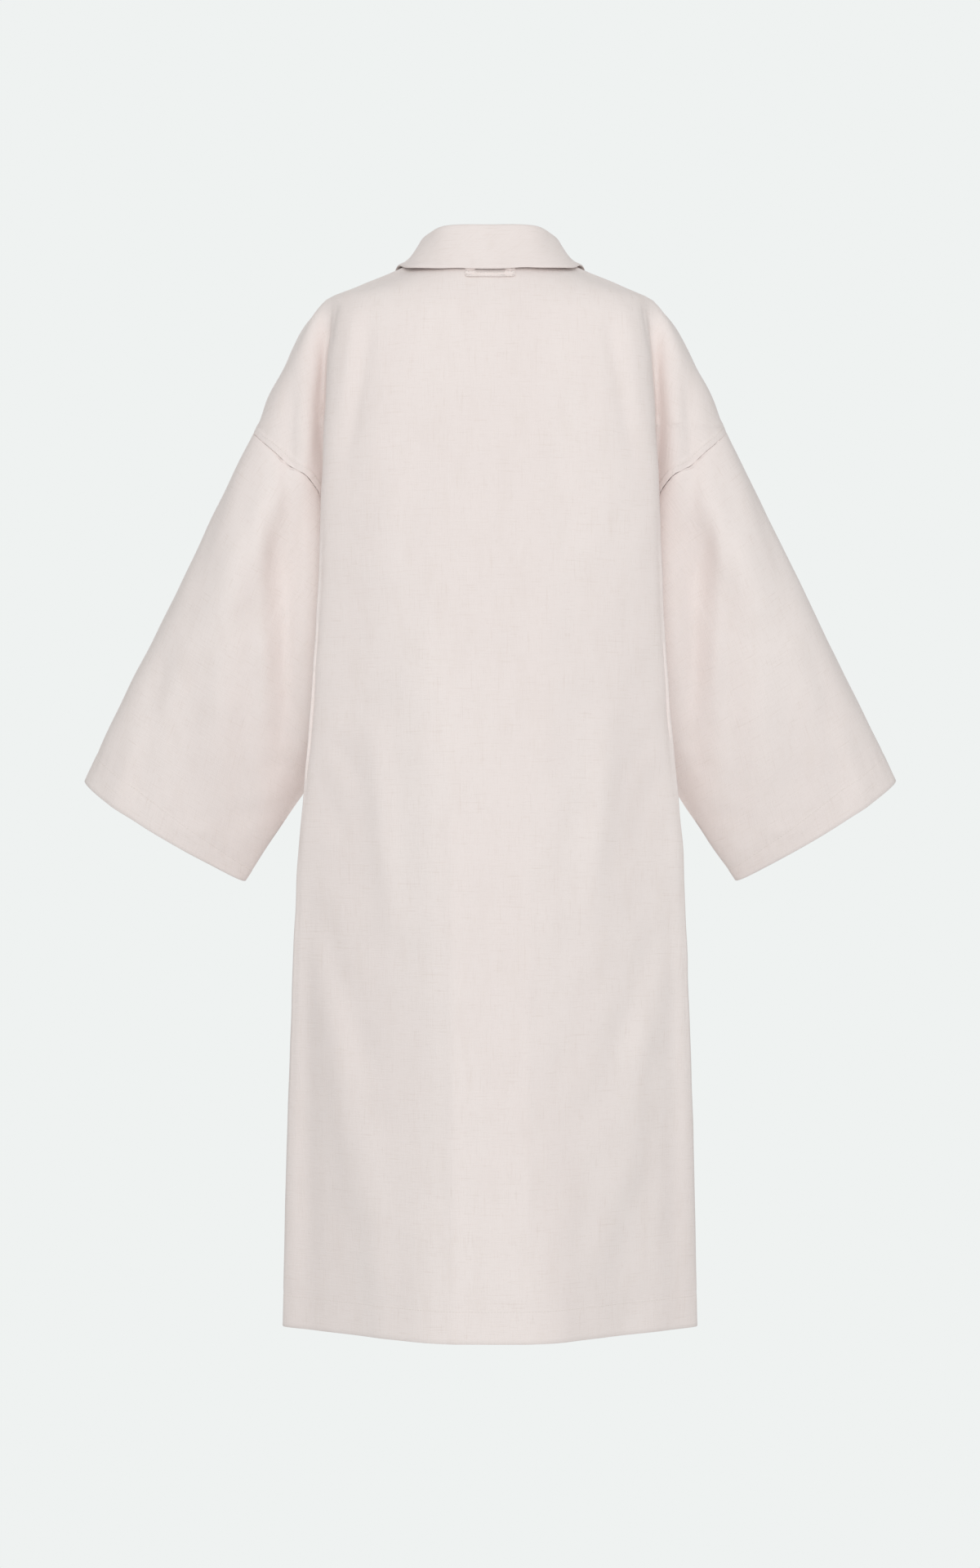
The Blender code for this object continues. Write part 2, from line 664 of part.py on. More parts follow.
def collar_profile(seam, share):
    """The middle line of the folded collar: up the stand, over the roll, down the fall."""
    inwards = unit(np.array((-seam[0], -1 - seam[1], 0)))
    up = np.array((0, 0, 1))
    roll = seam + up * (follow(ROLL, "z", share) - seam[2]) + inwards * follow(ROLL, "lean", share)
    edge = fall_edge(share)
    outwards = unit((edge - roll) * np.array((1, 1, 0)))
    foot = seam + unit(roll - seam) * 2 * SEAM_GAP + inwards * COLLAR_CLOTH / 2
    corners = [foot, roll - outwards * ROLL_HALF_WIDTH, roll + outwards * ROLL_HALF_WIDTH, edge]
    path = rounded_path(corners, [ROLL_HALF_WIDTH] * 2)
    first, last = CORNER_STEPS, CORNER_STEPS + 1
    stand = [foot + (path[1] - foot) * t for t in STAND_STEPS]
    fall = [kept_off(path[-2] + (edge - path[-2]) * t, FALL_LIFT) for t in FALL_STEPS]
    return np.array(stand + list(path[1:first + 1:2]) + list(path[last:-1:2]) + fall)


def add_collar(grids, made):
    """The collar, folded over, from one front end round the neck to the other."""
    seam = half_neckline(grids)
    shares = run_lengths(seam) / run_lengths(seam)[-1]
    half = np.array([collar_profile(point, share) for point, share in zip(seam, shares)])
    for _ in range(COLLAR_SMOOTHINGS):
        half[1:-1, 1:] = (half[:-2, 1:] + 2 * half[1:-1, 1:] + half[2:, 1:]) / 4
    middle = np.concatenate((mirrored(half[:0:-1]), half))
    normals = normals_of(middle, False, 1)
    middle_column = len(half) - 1
    normals[middle_column, :, 0] = 0
    half_wall = COLLAR_CLOTH / 2
    add_wall("collar", middle + normals * half_wall, middle - normals * half_wall, made)


def add_hanger_loop(made):
    """A tape sewn in under the collar: two ends and a band that hangs between them."""
    inside = LOOP_HALF_WIDTH - LOOP_END_WIDTH
    xs = [-LOOP_HALF_WIDTH, -inside, -inside / 2, 0, inside / 2, inside, LOOP_HALF_WIDTH]
    zs = [LOOP_TOP_Z, LOOP_BOTTOM_Z + LOOP_BAND, LOOP_BOTTOM_Z]
    mesh = bmesh.new()
    sheets = []
    for lift in (LOOP_LIFT, LOOP_LIFT + LOOP_CLOTH):
        sheets.append([[mesh.verts.new(on_back(x, z, lift) * CM) for x in xs] for z in zs])
    cells = [(0, 0), (0, 5)] + [(1, k) for k in range(6)]
    for row, column in cells:
        for sheet in sheets:
            corners = ((row, column), (row, column + 1), (row + 1, column + 1), (row + 1, column))
            mesh.faces.new([sheet[r][c] for r, c in corners])
    sides = {}
    for row, column in cells:
        ring = [(row, column), (row, column + 1), (row + 1, column + 1), (row + 1, column)]
        for a, b in zip(ring, ring[1:] + ring[:1]):
            sides[frozenset((a, b))] = None if frozenset((a, b)) in sides else (a, b)
    for side in filter(None, sides.values()):
        (r0, c0), (r1, c1) = side
        mesh.faces.new((sheets[0][r0][c0], sheets[0][r1][c1], sheets[1][r1][c1], sheets[1][r0][c0]))
    loose = [vert for vert in mesh.verts if not vert.link_faces]
    bmesh.ops.delete(mesh, geom=loose, context="VERTS")
    add_object("hanger_loop", mesh, made)


def on_back(x, z, lift):
    """A point above the back at a distance from its centre line."""
    point = lifted("back", abs(x), z, lift)
    return np.array((x, point[1], point[2]))


def add_button(number, made):
    """A flat button with a raised rim, on the left front at the centre line."""
    z = BUTTON_TOP_Z - BUTTON_STEP * (number - 1)
    seat, above = lifted("front", 0, z, SEAM_GAP), lifted("front", 0, z, 1)
    out = unit((above - seat) * np.array((0, 1, 1)))
    down = np.array((0, out[2], -out[1]))
    profile = zip(BUTTON_PROFILE["radius"] * BUTTON_RADIUS, BUTTON_PROFILE["height"] * BUTTON_THICK)
    mesh = bmesh.new()
    rings = []
    for radius, height in profile:
        turns = np.arange(BUTTON_SIDES if radius else 1) * 2 * math.pi / BUTTON_SIDES
        rings.append([
            mesh.verts.new((seat + out * height + radius * (math.cos(turn) * np.array((1, 0, 0))
                            + math.sin(turn) * down)) * CM)
            for turn in turns
        ])
    for lower, upper in zip(rings, rings[1:]):
        for k in range(BUTTON_SIDES):
            n = (k + 1) % BUTTON_SIDES
            if len(lower) == 1:
                mesh.faces.new((lower[0], upper[k], upper[n]))
            elif len(upper) == 1:
                mesh.faces.new((lower[k], lower[n], upper[0]))
            else:
                mesh.faces.new((lower[k], lower[n], upper[n], upper[k]))
    add_object(f"button_{number}", mesh, made)


def main():
    for thing in list(bpy.data.objects):
        bpy.data.objects.remove(thing)
    linen = material("linen", (0.79, 0.73, 0.69), 0.85)
    tape = material("tape", (0.80, 0.75, 0.71), 0.8)
    shell = material("button_shell", (0.78, 0.74, 0.68), 0.35)
    grids, seam = left_half()
    add_back(grids, seam, linen)
    for wearers_left in (True, False):
        add_front(grids, seam, linen, wearers_left)
        add_sleeve(grids, seam, linen, wearers_left)
    add_collar(grids, linen)
    add_hanger_loop(tape)
    for number in range(1, BUTTON_COUNT + 1):
        add_button(number, shell)


main()
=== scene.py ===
"""The looks of a long linen kimono shirt, hollow as if worn, seen from the back.

Sizes are in centimetres, and every mesh is in metres. +Z is up, the front faces -Y and the
wearer's left side is +X. Each panel is a thin shell on the form of its solid, worked out
from the same level sections, closer set and with its creases, seams and stitches.
"""

import functools
import itertools
import math

import bmesh
import bpy
import numpy as np
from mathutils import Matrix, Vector


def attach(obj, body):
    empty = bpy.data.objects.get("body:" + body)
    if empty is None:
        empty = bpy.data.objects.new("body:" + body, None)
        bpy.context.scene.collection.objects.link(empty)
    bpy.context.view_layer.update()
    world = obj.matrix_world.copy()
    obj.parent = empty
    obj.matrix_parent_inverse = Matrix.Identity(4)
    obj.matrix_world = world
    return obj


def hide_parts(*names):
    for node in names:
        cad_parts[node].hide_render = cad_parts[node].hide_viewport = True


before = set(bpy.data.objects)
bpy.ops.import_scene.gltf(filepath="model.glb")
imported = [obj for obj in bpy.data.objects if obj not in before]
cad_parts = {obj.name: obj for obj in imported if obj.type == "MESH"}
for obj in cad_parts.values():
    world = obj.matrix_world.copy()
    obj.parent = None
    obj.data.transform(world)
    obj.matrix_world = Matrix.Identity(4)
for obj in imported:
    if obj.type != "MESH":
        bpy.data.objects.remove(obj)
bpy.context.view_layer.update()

CM = 0.01

# Which way each side faces along Y, and where each hand lies along X
SIDES = {"back": 1, "front": -1}
HANDS = {"left": 1, "right": -1}


def table(columns, *rows):
    """Gives a table as one array for each named column."""
    return dict(zip(columns.split(), np.array(rows, dtype=float).T))


# Cloth and seams
CLOTH = 0.08
TURNED_CLOTH = 0.16
COLLAR_CLOTH = 0.15
HEM_Z = -113.5
HEM_TURN = 3.5
CUFF_TURN = 3.3
NECK_Z = 0.1
NECK_DROP = {"back": 1.1, "front": 9.1}
DROP_ENDS_Z = {"back": -8.5, "front": -27.0}
DROP_CURVE = {"back": (2.0, 1.5), "front": (1.0, 3.0)}
TIP_Z = -17.3
SEAM_PARTS_Z = -17.68
SEAM_HIDES_Z = -28.0
UNDERARM_Z = -51.0
FRONT_LAP = 1.5
LAP_FADE = 4.5
LAP_STEP = 0.24
SIDE_TUCK = 0.5
SIDE_TUCK_FADE = 3.0
SIDE_SHARE = 0.62
ROUNDS = {"facet": 3.2, "blade": 4.0, "fold": 1.5, "valley": 0.9, "ridge": 1.8, "side": 3.4}
LEAST_ROUND = 1e-4

# How each sheet was cut, in metres: its flat size, its area, and the sheets that it rests on
CUTS = {
    "back": ((0.70, 1.19), 0.66, []),
    "front_left": ((0.38, 1.19), 0.34, ["back"]),
    "front_right": ((0.38, 1.19), 0.34, ["back"]),
    "sleeve_left": ((0.84, 0.47), 0.215, ["back", "front_left"]),
    "sleeve_right": ((0.84, 0.47), 0.215, ["back", "front_right"]),
    "collar": ((0.67, 0.13), 0.0575, ["back", "front_left", "front_right"]),
}

# Sleeve
CUFF_OUTER = np.array((44.2, -6.5, -55.0))
CUFF_INNER = np.array((26.7, -6.5, -66.0))
CUFF_HALF_DEPTH = 4.6
CUFF_FULLER_OUTSIDE = 0.2
CUFF_LEAN = 0.14
SLEEVE_SWELL = {"back": 2.3, "front": 1.0}
SWELL_EARLY = 0.6
SWELL_BREADTH = 0.7

# Relief along the seams: a groove at each, and the band of turned cloth beside the armhole
GROOVE_DEPTH = 0.03
GROOVE_WIDTH = 0.16
BAND_WIDTH = 0.85
BAND_HEIGHT = 0.08
BAND_EDGE = 0.16
PUCKER_HEIGHT = 0.02
PUCKER_LENGTH = 1.3
PUCKER_REACH = 1.4
PUCKER_BEAT = (0.6, 4.1, 1.3)
SEAM_PUCKERS = 1.4
TURN_DIP = 0.03
TURN_DIP_WIDTH = 0.3
COLLAR_DIP_WIDTH = 0.14

# Where the cloth is calm: by the neck, down the front band and beside the hidden seams
NECK_HALF_WIDTH = 8
NECK_CALM = 0.15
NECK_CALM_DEPTH = 6
BAND_CALM = 0.3
BAND_CALM_REACH = 2
HELD_Z = (-29, -25)
HELD_REACH = 2.5
CREASE_TURN = 1.8
CREASE_TAPER = 3

# Stitches, each as rings that dip at both ends
STITCH = 0.24
STITCH_GAP = 0.09
THREAD_RADIUS = 0.022
STITCH_INSET = 0.22
COLLAR_STITCH_INSET = 0.3
PLACKET_EDGE_X = -1.22
PLACKET_INNER_X = 1.35
PLACKET_COLUMNS = 12
STITCH_SIDES = 5
STITCH_RINGS = table(
    "way    height girth",
    (-0.5, -0.9,   0.5),
    (-0.36, 0.35,  1.0),
    (0.36,  0.35,  1.0),
    (0.5,  -0.9,   0.5),
)

# Hanger loop
LOOP_HALF_WIDTH = 2.6
LOOP_END_WIDTH = 1.0
LOOP_BAND = 0.5
LOOP_TOP_Z = -1.0
LOOP_BOTTOM_Z = -2.3
LOOP_CORNER = 0.3
LOOP_CLOTH = 0.09
LOOP_LIFT = 0.08
LOOP_COLUMNS = 9
LOOP_STITCHED = (1, 7)
LOOP_BARS = (3, -4)
LOOP_STITCH_LIFT = 0.01
LOOP_BAR_LIFT = 0.02
LOOP_EDGE = 0.45
LOOP_FULLNESS = 0.4
LOOP_STEPS = {"down": 8, "bend": 9, "across": 10}

# Buttons, their threads and their buttonholes
BUTTON_RADIUS = 0.58
BUTTON_THICK = 0.24
BUTTON_TOP_Z = -11.5
BUTTON_STEP = 12.0
BUTTON_COUNT = 6
BUTTON_SIDES = 48
BUTTON_LIFT = 0.05
CENTRE_COLUMN = 2
HOLE_RADIUS = 0.075
HOLE_FROM_CENTRE = 0.14
HOLE_SIDES = 20
THREADS_IN_HOLE = (-0.03, 0.0, 0.03)
THREAD_FOOT = -0.1
THREAD_OVER = 0.02
BUTTON_THREAD = 0.018
BUTTONHOLE = 1.5
BUTTONHOLE_STEP = 0.055
BUTTONHOLE_BITE = ((0.02, 0.02), (0.13, 0.03), (0.15, -0.02))
BUTTONHOLE_THREAD = 0.024
BAR_HALF = 0.15
BAR_PAST = 0.04
BAR_HEIGHT = 0.03
BAR_THREAD = 0.035
TUBE_SIDES = 6
TUBE_HELPER = np.array((0.37, 0.61, 0.7))
BUTTON_PROFILE = table(
    "radius height",
    (0.0,   0.0),
    (0.7,   0.0),
    (0.92,  0.14),
    (1.0,   0.4),
    (1.0,   0.66),
    (0.95,  0.9),
    (0.87,  1.0),
    (0.78,  0.9),
    (0.7,   0.72),
    (0.5,   0.64),
    (0.0,   0.62),
)

# Mesh density
CORNER_STEPS = 13
FOLD_SHARE = 0.6
FOLD_MIDDLE = 1 + 2 * CORNER_STEPS + CORNER_STEPS // 2
VALLEY_MIDDLE = FOLD_MIDDLE + CORNER_STEPS
SHARES = np.linspace(0, 1, 241)
FINE_DEPTH = 30
FINE_LEVEL = 0.1
LEVEL = 0.5
COLUMNS_TO_FOLD = 44
COLUMNS_PAST_FOLD = 48
CLOSE_COLUMNS = 1 - np.array((0.75, 0.6, 0.3, 0.15, 0.07)) / 26
CLOSE_GAP = 0.004
BAND_COLUMNS = (0.038, 0.0405, 0.043)
ROW_STEP = 0.5
LONG_ROW_STEP = 0.62
SEAM_SAMPLES = 400
SEAM_SAMPLE_STEP = 0.12
TURN_GAP = 0.15
SLEEVE_RINGS = 66
CUFF_RINGS = 8
CUFF_STEPS = 180
CLOSE_RINGS = (0, 0.08, 0.2, 0.4, 0.7)
FIRST_RING = 1.1
COLLAR_STEP = 0.5
COLLAR_SMOOTHINGS = 5
BEND_STEP = 3
CREASE_STEPS = 9
SHARP_ANGLE = math.radians(62)

# Colours and threads of the cloth: light, middle and deep tone, then the spread of the noise
LINEN = ((0.88, 0.798, 0.772, 1), (0.86, 0.773, 0.748, 1), (0.79, 0.695, 0.655, 1))
TAPE = ((0.90, 0.815, 0.79, 1), (0.88, 0.79, 0.765, 1), (0.81, 0.71, 0.665, 1))
THREAD_TONES = ((0.70, 0.64, 0.59, 1), (0.84, 0.79, 0.75, 1))
SHELL_TONES = ((0.70, 0.64, 0.56, 1), (0.84, 0.80, 0.73, 1), (0.88, 0.84, 0.80, 1))
SLUBS = ((430, 24, 1), (26, 470, 1))
WEAVE = ((1500, 130, 1), (120, 1550, 1))
HATCH = ((820, 62, 1), (66, 860, 1))

# The scene round the shirt, in metres and watts
BACKDROP = (0.863, 0.887, 0.879, 1)
AMBIENT = 0.66
FLOOR_Z = -1.5
FLOOR_RADIUS = 9
CAMERA_DISTANCE = 4.0
CAMERA_Z = -0.555
HALF_VIEW_HEIGHT = 0.84096
AIM = Vector((0, 0, -0.55))
LIGHTS = table(
    "x     y     z     size  power",
    (0.5,  4.4,  1.3,  2.8,  54),
    (-0.9, 4.4, -0.4,  2.6,  42),
    (0.4, -4.4,  0.8,  2.8,  80),
)

# The shoulder line and, below it, the outer line of the arm
SHOULDER = table(
    "z      x      y",
    (0.1,   8.4,   0.4),
    (-0.6,  10.1,  0.4),
    (-1.05, 11.1,  0.4),
    (-2.4,  14.4,  0.3),
    (-4.2,  17.9,  0.2),
    (-6.2,  19.8,  0.0),
    (-8.5,  21.1, -0.2),
    (-11.0, 22.3, -0.4),
    (-14.0, 23.9, -0.7),
    (-17.3, 25.1, -1.0),
    (-21.0, 27.1, -1.5),
    (-27.0, 30.1, -2.4),
)

# The middle of each side: its depth, and the half-width that lies flat
BACK_MIDDLE = table(
    "z      y      facet_x",
    (0.1,   7.0,   3.0),
    (-1.0,  8.0,   3.8),
    (-2.4,  9.1,   4.8),
    (-6.2,  10.9,  6.5),
    (-14.0, 12.2,  7.6),
    (-35.0, 12.6,  7.4),
    (-64.0, 12.8,  6.4),
    (-114., 13.8,  5.9),
)
FRONT_MIDDLE = table(
    "z      y      facet_x",
    (0.1,  -6.6,   2.6),
    (-4.0, -8.8,   4.8),
    (-9.0, -10.3,  6.4),
    (-17.0, -11.3, 7.4),
    (-35.0, -11.7, 7.4),
    (-64.0, -11.9, 6.4),
    (-114., -12.1, 5.8),
)

# The deep fold that runs from the shoulder down each side of the back and of the front
BACK_FOLD = table(
    "z      blade_x blade_y fold_x fold_y",
    (0.1,   5.0,    5.9,    6.9,   4.4),
    (-1.0,  6.8,    6.6,    9.1,   4.2),
    (-2.4,  9.4,    7.5,    12.1,  4.9),
    (-4.2,  12.2,   8.5,    15.7,  6.0),
    (-6.2,  13.2,   9.3,    16.2,  7.4),
    (-9.0,  13.6,   9.9,    16.5,  8.4),
    (-14.0, 13.9,   10.4,   16.9,  8.9),
    (-24.0, 14.3,   10.1,   17.9,  8.0),
    (-38.0, 14.6,   9.1,    18.8,  6.6),
    (-51.0, 14.8,   8.2,    19.9,  5.4),
    (-64.0, 14.7,   7.7,    20.95, 3.9),
    (-94.0, 14.2,   7.4,    21.9,  1.9),
    (-114., 14.0,   7.4,    22.2,  1.0),
)
FRONT_FOLD = table(
    "z      blade_x blade_y fold_x fold_y",
    (0.1,   5.6,   -5.6,    7.5,  -4.0),
    (-1.0,  7.3,   -6.3,    9.6,  -4.1),
    (-2.4,  9.8,   -7.1,    12.5, -4.7),
    (-4.2,  12.0,  -8.0,    15.7, -5.8),
    (-8.5,  12.8,  -9.2,    16.1, -7.7),
    (-14.0, 13.4,  -9.8,    16.6, -8.5),
    (-24.0, 13.8,  -9.9,    17.2, -8.6),
    (-38.0, 14.0,  -9.4,    17.6, -8.3),
    (-51.0, 14.2,  -8.9,    18.2, -7.6),
    (-64.0, 14.4,  -7.9,    19.8, -5.6),
    (-94.0, 14.2,  -6.8,    21.7, -2.4),
    (-114., 14.0,  -6.4,    22.2, -1.0),
)

# The valley beside the fold, and the crest over the arm. Where the seam is hidden, the
# valley is the armhole seam, and below the underarm it is the side seam
SIDE_SEAM = (
    (-51.0,  16.5,  -1.0),
    (-57.0,  17.9,  -0.9),
    (-64.0,  19.1,  -0.8),
    (-76.0,  20.5,  -0.6),
    (-94.0,  21.6,  -0.3),
    (-114.,  22.25, 0.0),
)
BACK_VALLEY = table(
    "z      valley_x valley_y",
    (0.1,   8.0,     3.4),
    (-1.0,  10.3,    3.3),
    (-2.4,  13.6,    3.6),
    (-4.2,  17.0,    4.3),
    (-6.2,  17.1,    5.0),
    (-8.5,  17.2,    4.8),
    (-11.0, 17.4,    4.4),
    (-14.0, 17.5,    4.1),
    (-17.3, 17.6,    3.8),
    (-21.0, 17.5,    3.6),
    (-27.0, 17.1,    3.2),
    (-35.0, 16.8,    2.5),
    (-45.0, 16.5,    0.8),
    *SIDE_SEAM,
)
BACK_RIDGE = table(
    "z      ridge_x ridge_y",
    (0.1,   8.3,    2.2),
    (-1.0,  10.7,   2.2),
    (-2.4,  14.2,   2.3),
    (-4.2,  17.8,   3.2),
    (-6.2,  18.9,   4.8),
    (-8.5,  19.4,   5.9),
    (-11.0, 19.8,   6.4),
    (-14.0, 20.1,   6.6),
    (-17.3, 20.3,   6.6),
    (-21.0, 20.3,   6.2),
    (-27.0, 20.2,   5.6),
    (-35.0, 20.0,   5.0),
    (-45.0, 20.0,   5.0),
)
FRONT_VALLEY = table(
    "z      valley_x valley_y",
    (0.1,   8.2,     -2.4),
    (-1.0,  10.5,    -2.6),
    (-2.4,  13.7,    -3.1),
    (-4.2,  16.9,    -4.3),
    (-6.2,  16.9,    -5.2),
    (-8.5,  17.0,    -5.2),
    (-11.0, 17.2,    -5.0),
    (-14.0, 17.4,    -4.8),
    (-17.3, 17.5,    -4.7),
    (-21.0, 17.4,    -4.6),
    (-27.0, 17.0,    -4.4),
    (-35.0, 16.8,    -3.9),
    (-45.0, 16.5,    -2.6),
    *SIDE_SEAM,
)
FRONT_RIDGE = table(
    "z      ridge_x ridge_y",
    (0.1,   8.35,   -1.4),
    (-1.0,  10.9,   -1.5),
    (-2.4,  14.2,   -1.8),
    (-4.2,  17.7,   -3.0),
    (-6.2,  18.7,   -4.9),
    (-8.5,  19.4,   -6.2),
    (-11.0, 19.9,   -7.0),
    (-14.0, 20.3,   -7.5),
    (-17.3, 20.6,   -7.8),
    (-21.0, 20.8,   -7.8),
    (-27.0, 20.8,   -7.6),
    (-35.0, 20.0,   -6.0),
    (-45.0, 20.0,   -6.0),
)

# How far past the valley the armhole seam lies, where it crosses the arm
SEAM_RUN = table(
    "z      back   front",
    (-17.3, 14.0,  15.0),
    (-17.8, 10.8,  11.6),
    (-18.5, 8.8,   9.6),
    (-19.5, 7.1,   7.9),
    (-20.7, 5.4,   6.1),
    (-22.0, 3.6,   4.2),
    (-23.3, 2.0,   2.3),
    (-24.6, 0.9,   1.0),
    (-26.2, 0.3,   0.3),
    (-28.0, 0.0,   0.0),
)

# The collar by its share of the half neckline: the roll's height and its lean towards the
# neck, then the fall's edge at the back and on the front
ROLL = table(
    "share  z      lean",
    (0.0,   3.4,   1.1),
    (0.11,  3.45,  1.1),
    (0.18,  3.42,  1.05),
    (0.25,  3.05,  1.45),
    (0.36,  2.3,   1.65),
    (0.48,  1.7,   1.5),
    (0.62,  0.3,   1.2),
    (0.82,  -3.1,  0.9),
    (0.93,  -5.7,  0.6),
    (1.0,   -7.35, 0.4),
)
FALL_BACK = table(
    "share  x      y      z",
    (0.0,   0.0,   8.95, -1.35),
    (0.2,   5.4,   8.25, -1.25),
    (0.32,  8.8,   5.6,  -0.8),
    (0.44,  9.75,  0.8,  -0.15),
)
FALL_FRONT = table(
    "share  z      run",
    (0.44, -0.5,   13.5),
    (0.5,  -0.7,   12.3),
    (0.56, -1.1,   11.4),
    (0.65, -2.4,   10.5),
    (0.77, -5.2,   9.4),
    (0.9,  -9.3,   7.6),
    (1.0,  -13.3,  5.6),
)
FALL_LIFT = 0.38
ROLL_HALF_WIDTH = 0.28
COLLAR_END_X = 0.3
NEAR = 0.2
STAND_STEPS = np.linspace(0, 1, 7)[:-1]
FALL_STEPS = np.linspace(0, 1, 19)[1:]
PATCH_BOTTOM_Z = -16.0
PATCH_STEP = 0.35
PATCH_COLUMNS = 81

# Creases as soft lines over one side, each from its start through a bend to its end: its
# half-width, its height (below zero it is a trough), and its share of that on the right
BACK_CREASES = table(
    "x0     z0     xm     zm     x1     z1     width height right",
    (12.2,  -4.5,  13.2,  -12.5, 15.6,  -24.5, 0.8,  -0.30, 0.9),
    (14.2,  -4.0,  14.5,  -11.0, 15.9,  -19.5, 0.8,   0.20, 1.0),
    (16.0,  -4.4,  16.9,  -6.4,  16.9,  -10.5, 0.5,  -0.36, 1.0),
    (10.8,  -9.0,  11.2,  -17.0, 13.2,  -27.0, 1.3,   0.16, 0.8),
    (6.4,   -12.0, 8.6,   -27.0, 9.0,   -47.0, 2.3,  -0.34, 0.9),
    (9.4,   -30.0, 8.4,   -62.0, 6.6,   -122., 2.7,  -0.46, 0.95),
    (12.6,  -46.0, 11.6,  -58.0, 10.0,  -74.0, 1.4,   0.34, 0.85),
    (17.0,  -72.0, 15.6,  -88.0, 13.0,  -106., 1.8,   0.40, 1.0),
    (13.6,  -84.0, 11.8,  -98.0, 11.2,  -122., 1.6,   0.28, 0.7),
    (19.6,  -58.0, 20.2,  -84.0, 19.4,  -124., 1.3,  -0.34, 0.9),
    (4.0,   -44.0, 3.7,   -80.0, 3.7,   -126., 0.7,   0.20, 1.0),
    (0.0,   -50.0, 0.2,   -82.0, 0.0,   -130., 3.0,   0.12, 0.6),
    (2.2,   -9.0,  3.0,   -24.0, 2.4,   -44.0, 2.0,   0.16, 0.6),
    (17.4,  -49.0, 15.6,  -53.0, 12.6,  -56.5, 1.1,  -0.12, 1.0),
    (18.2,  -53.0, 17.0,  -58.0, 15.0,  -63.0, 1.2,  -0.12, 0.8),
    (18.6,  -66.0, 16.4,  -76.0, 11.6,  -89.0, 1.5,  -0.26, 0.7),
    (20.4,  -10.0, 22.0,  -20.6, 20.8,  -31.0, 1.1,  -0.62, 1.0),
    (17.9,  -7.0,  19.6,  -15.0, 19.2,  -25.0, 0.8,   0.34, 0.95),
    (21.0,  -22.0, 21.5,  -40.0, 22.6,  -62.0, 2.8,  -1.25, 0.95),
    (22.2,  -25.0, 22.2,  -38.0, 21.2,  -51.0, 1.2,  -0.55, 0.95),
    (24.3,  -22.0, 24.4,  -36.0, 23.8,  -50.5, 0.9,   0.42, 0.9),
    (24.4,  -14.0, 26.0,  -20.0, 28.8,  -27.0, 1.1,   0.20, 0.8),
    (26.6,  -19.5, 29.4,  -27.0, 32.4,  -37.0, 1.0,  -0.24, 1.0),
    (25.4,  -24.0, 27.6,  -38.0, 31.2,  -58.0, 2.2,   0.62, 1.0),
    (25.2,  -40.0, 26.2,  -50.0, 27.4,  -64.0, 1.6,  -0.42, 0.9),
    (33.6,  -38.0, 37.0,  -48.0, 38.8,  -62.0, 1.4,  -0.34, 0.8),
    (35.6,  -46.0, 39.0,  -53.0, 41.6,  -62.0, 1.2,   0.24, 1.0),
    (28.6,  -60.2, 31.6,  -61.2, 35.4,  -59.6, 1.0,   0.12, 0.9),
    (19.9,  -52.6, 22.0,  -50.0, 25.0,  -49.0, 0.8,  -0.08, 1.0),
    (20.0,  -54.2, 22.4,  -53.2, 25.4,  -54.0, 0.8,  -0.07, 0.9),
    (19.4,  -49.0, 20.6,  -47.0, 22.6,  -46.4, 0.7,  -0.07, 0.8),
    (21.8,  -57.6, 24.4,  -58.8, 28.2,  -59.4, 1.1,  -0.12, 1.0),
)
FRONT_CREASES = table(
    "x0     z0     xm     zm     x1     z1     width height right",
    (12.0,  -5.0,  12.6,  -13.0, 14.8,  -25.0, 0.9,  -0.28, 0.9),
    (9.6,   -13.0, 10.8,  -26.0, 11.0,  -46.0, 1.9,  -0.38, 0.8),
    (13.4,  -18.0, 13.6,  -32.0, 12.0,  -50.0, 1.5,   0.32, 1.0),
    (6.6,   -18.0, 6.2,   -46.0, 7.2,   -84.0, 2.0,   0.30, 0.7),
    (9.4,   -44.0, 9.0,   -74.0, 8.2,   -124., 2.3,  -0.56, 0.9),
    (13.8,  -62.0, 13.0,  -84.0, 12.4,  -122., 1.7,   0.46, 0.85),
    (17.6,  -60.0, 17.8,  -86.0, 16.8,  -124., 1.6,  -0.38, 1.0),
    (4.6,   -62.0, 4.2,   -90.0, 4.8,   -126., 1.4,  -0.24, 0.6),
    (17.6,  -49.0, 14.8,  -52.5, 10.6,  -54.0, 0.8,  -0.24, 1.0),
    (18.0,  -53.5, 15.8,  -59.0, 11.4,  -65.0, 0.9,  -0.24, 0.8),
    (16.2,  -40.0, 13.6,  -44.0, 10.2,  -45.0, 0.8,  -0.18, 0.7),
    (2.2,   -24.5, 5.6,   -27.0, 9.0,   -32.5, 0.8,  -0.16, 0.7),
    (2.0,   -49.0, 5.0,   -51.0, 8.0,   -55.5, 0.8,  -0.15, 1.0),
    (1.9,   -73.0, 4.4,   -76.0, 6.4,   -82.0, 0.8,  -0.15, 0.6),
    (20.9,  -9.0,  21.6,  -16.0, 22.4,  -25.0, 0.9,  -0.30, 1.0),
    (24.4,  -16.0, 26.2,  -23.0, 28.2,  -32.0, 1.2,   0.26, 0.8),
    (22.6,  -26.0, 24.2,  -38.0, 25.8,  -54.0, 1.6,  -0.48, 0.9),
    (26.6,  -32.0, 29.6,  -42.0, 32.2,  -58.0, 2.0,   0.50, 1.0),
    (32.4,  -40.0, 35.6,  -48.0, 37.0,  -62.0, 1.4,  -0.34, 0.9),
    (20.0,  -53.0, 22.6,  -50.6, 26.4,  -50.0, 0.6,  -0.24, 1.0),
    (20.2,  -55.0, 23.0,  -55.0, 26.4,  -57.0, 0.6,  -0.20, 0.8),
)
CREASES = {"back": BACK_CREASES, "front": FRONT_CREASES}

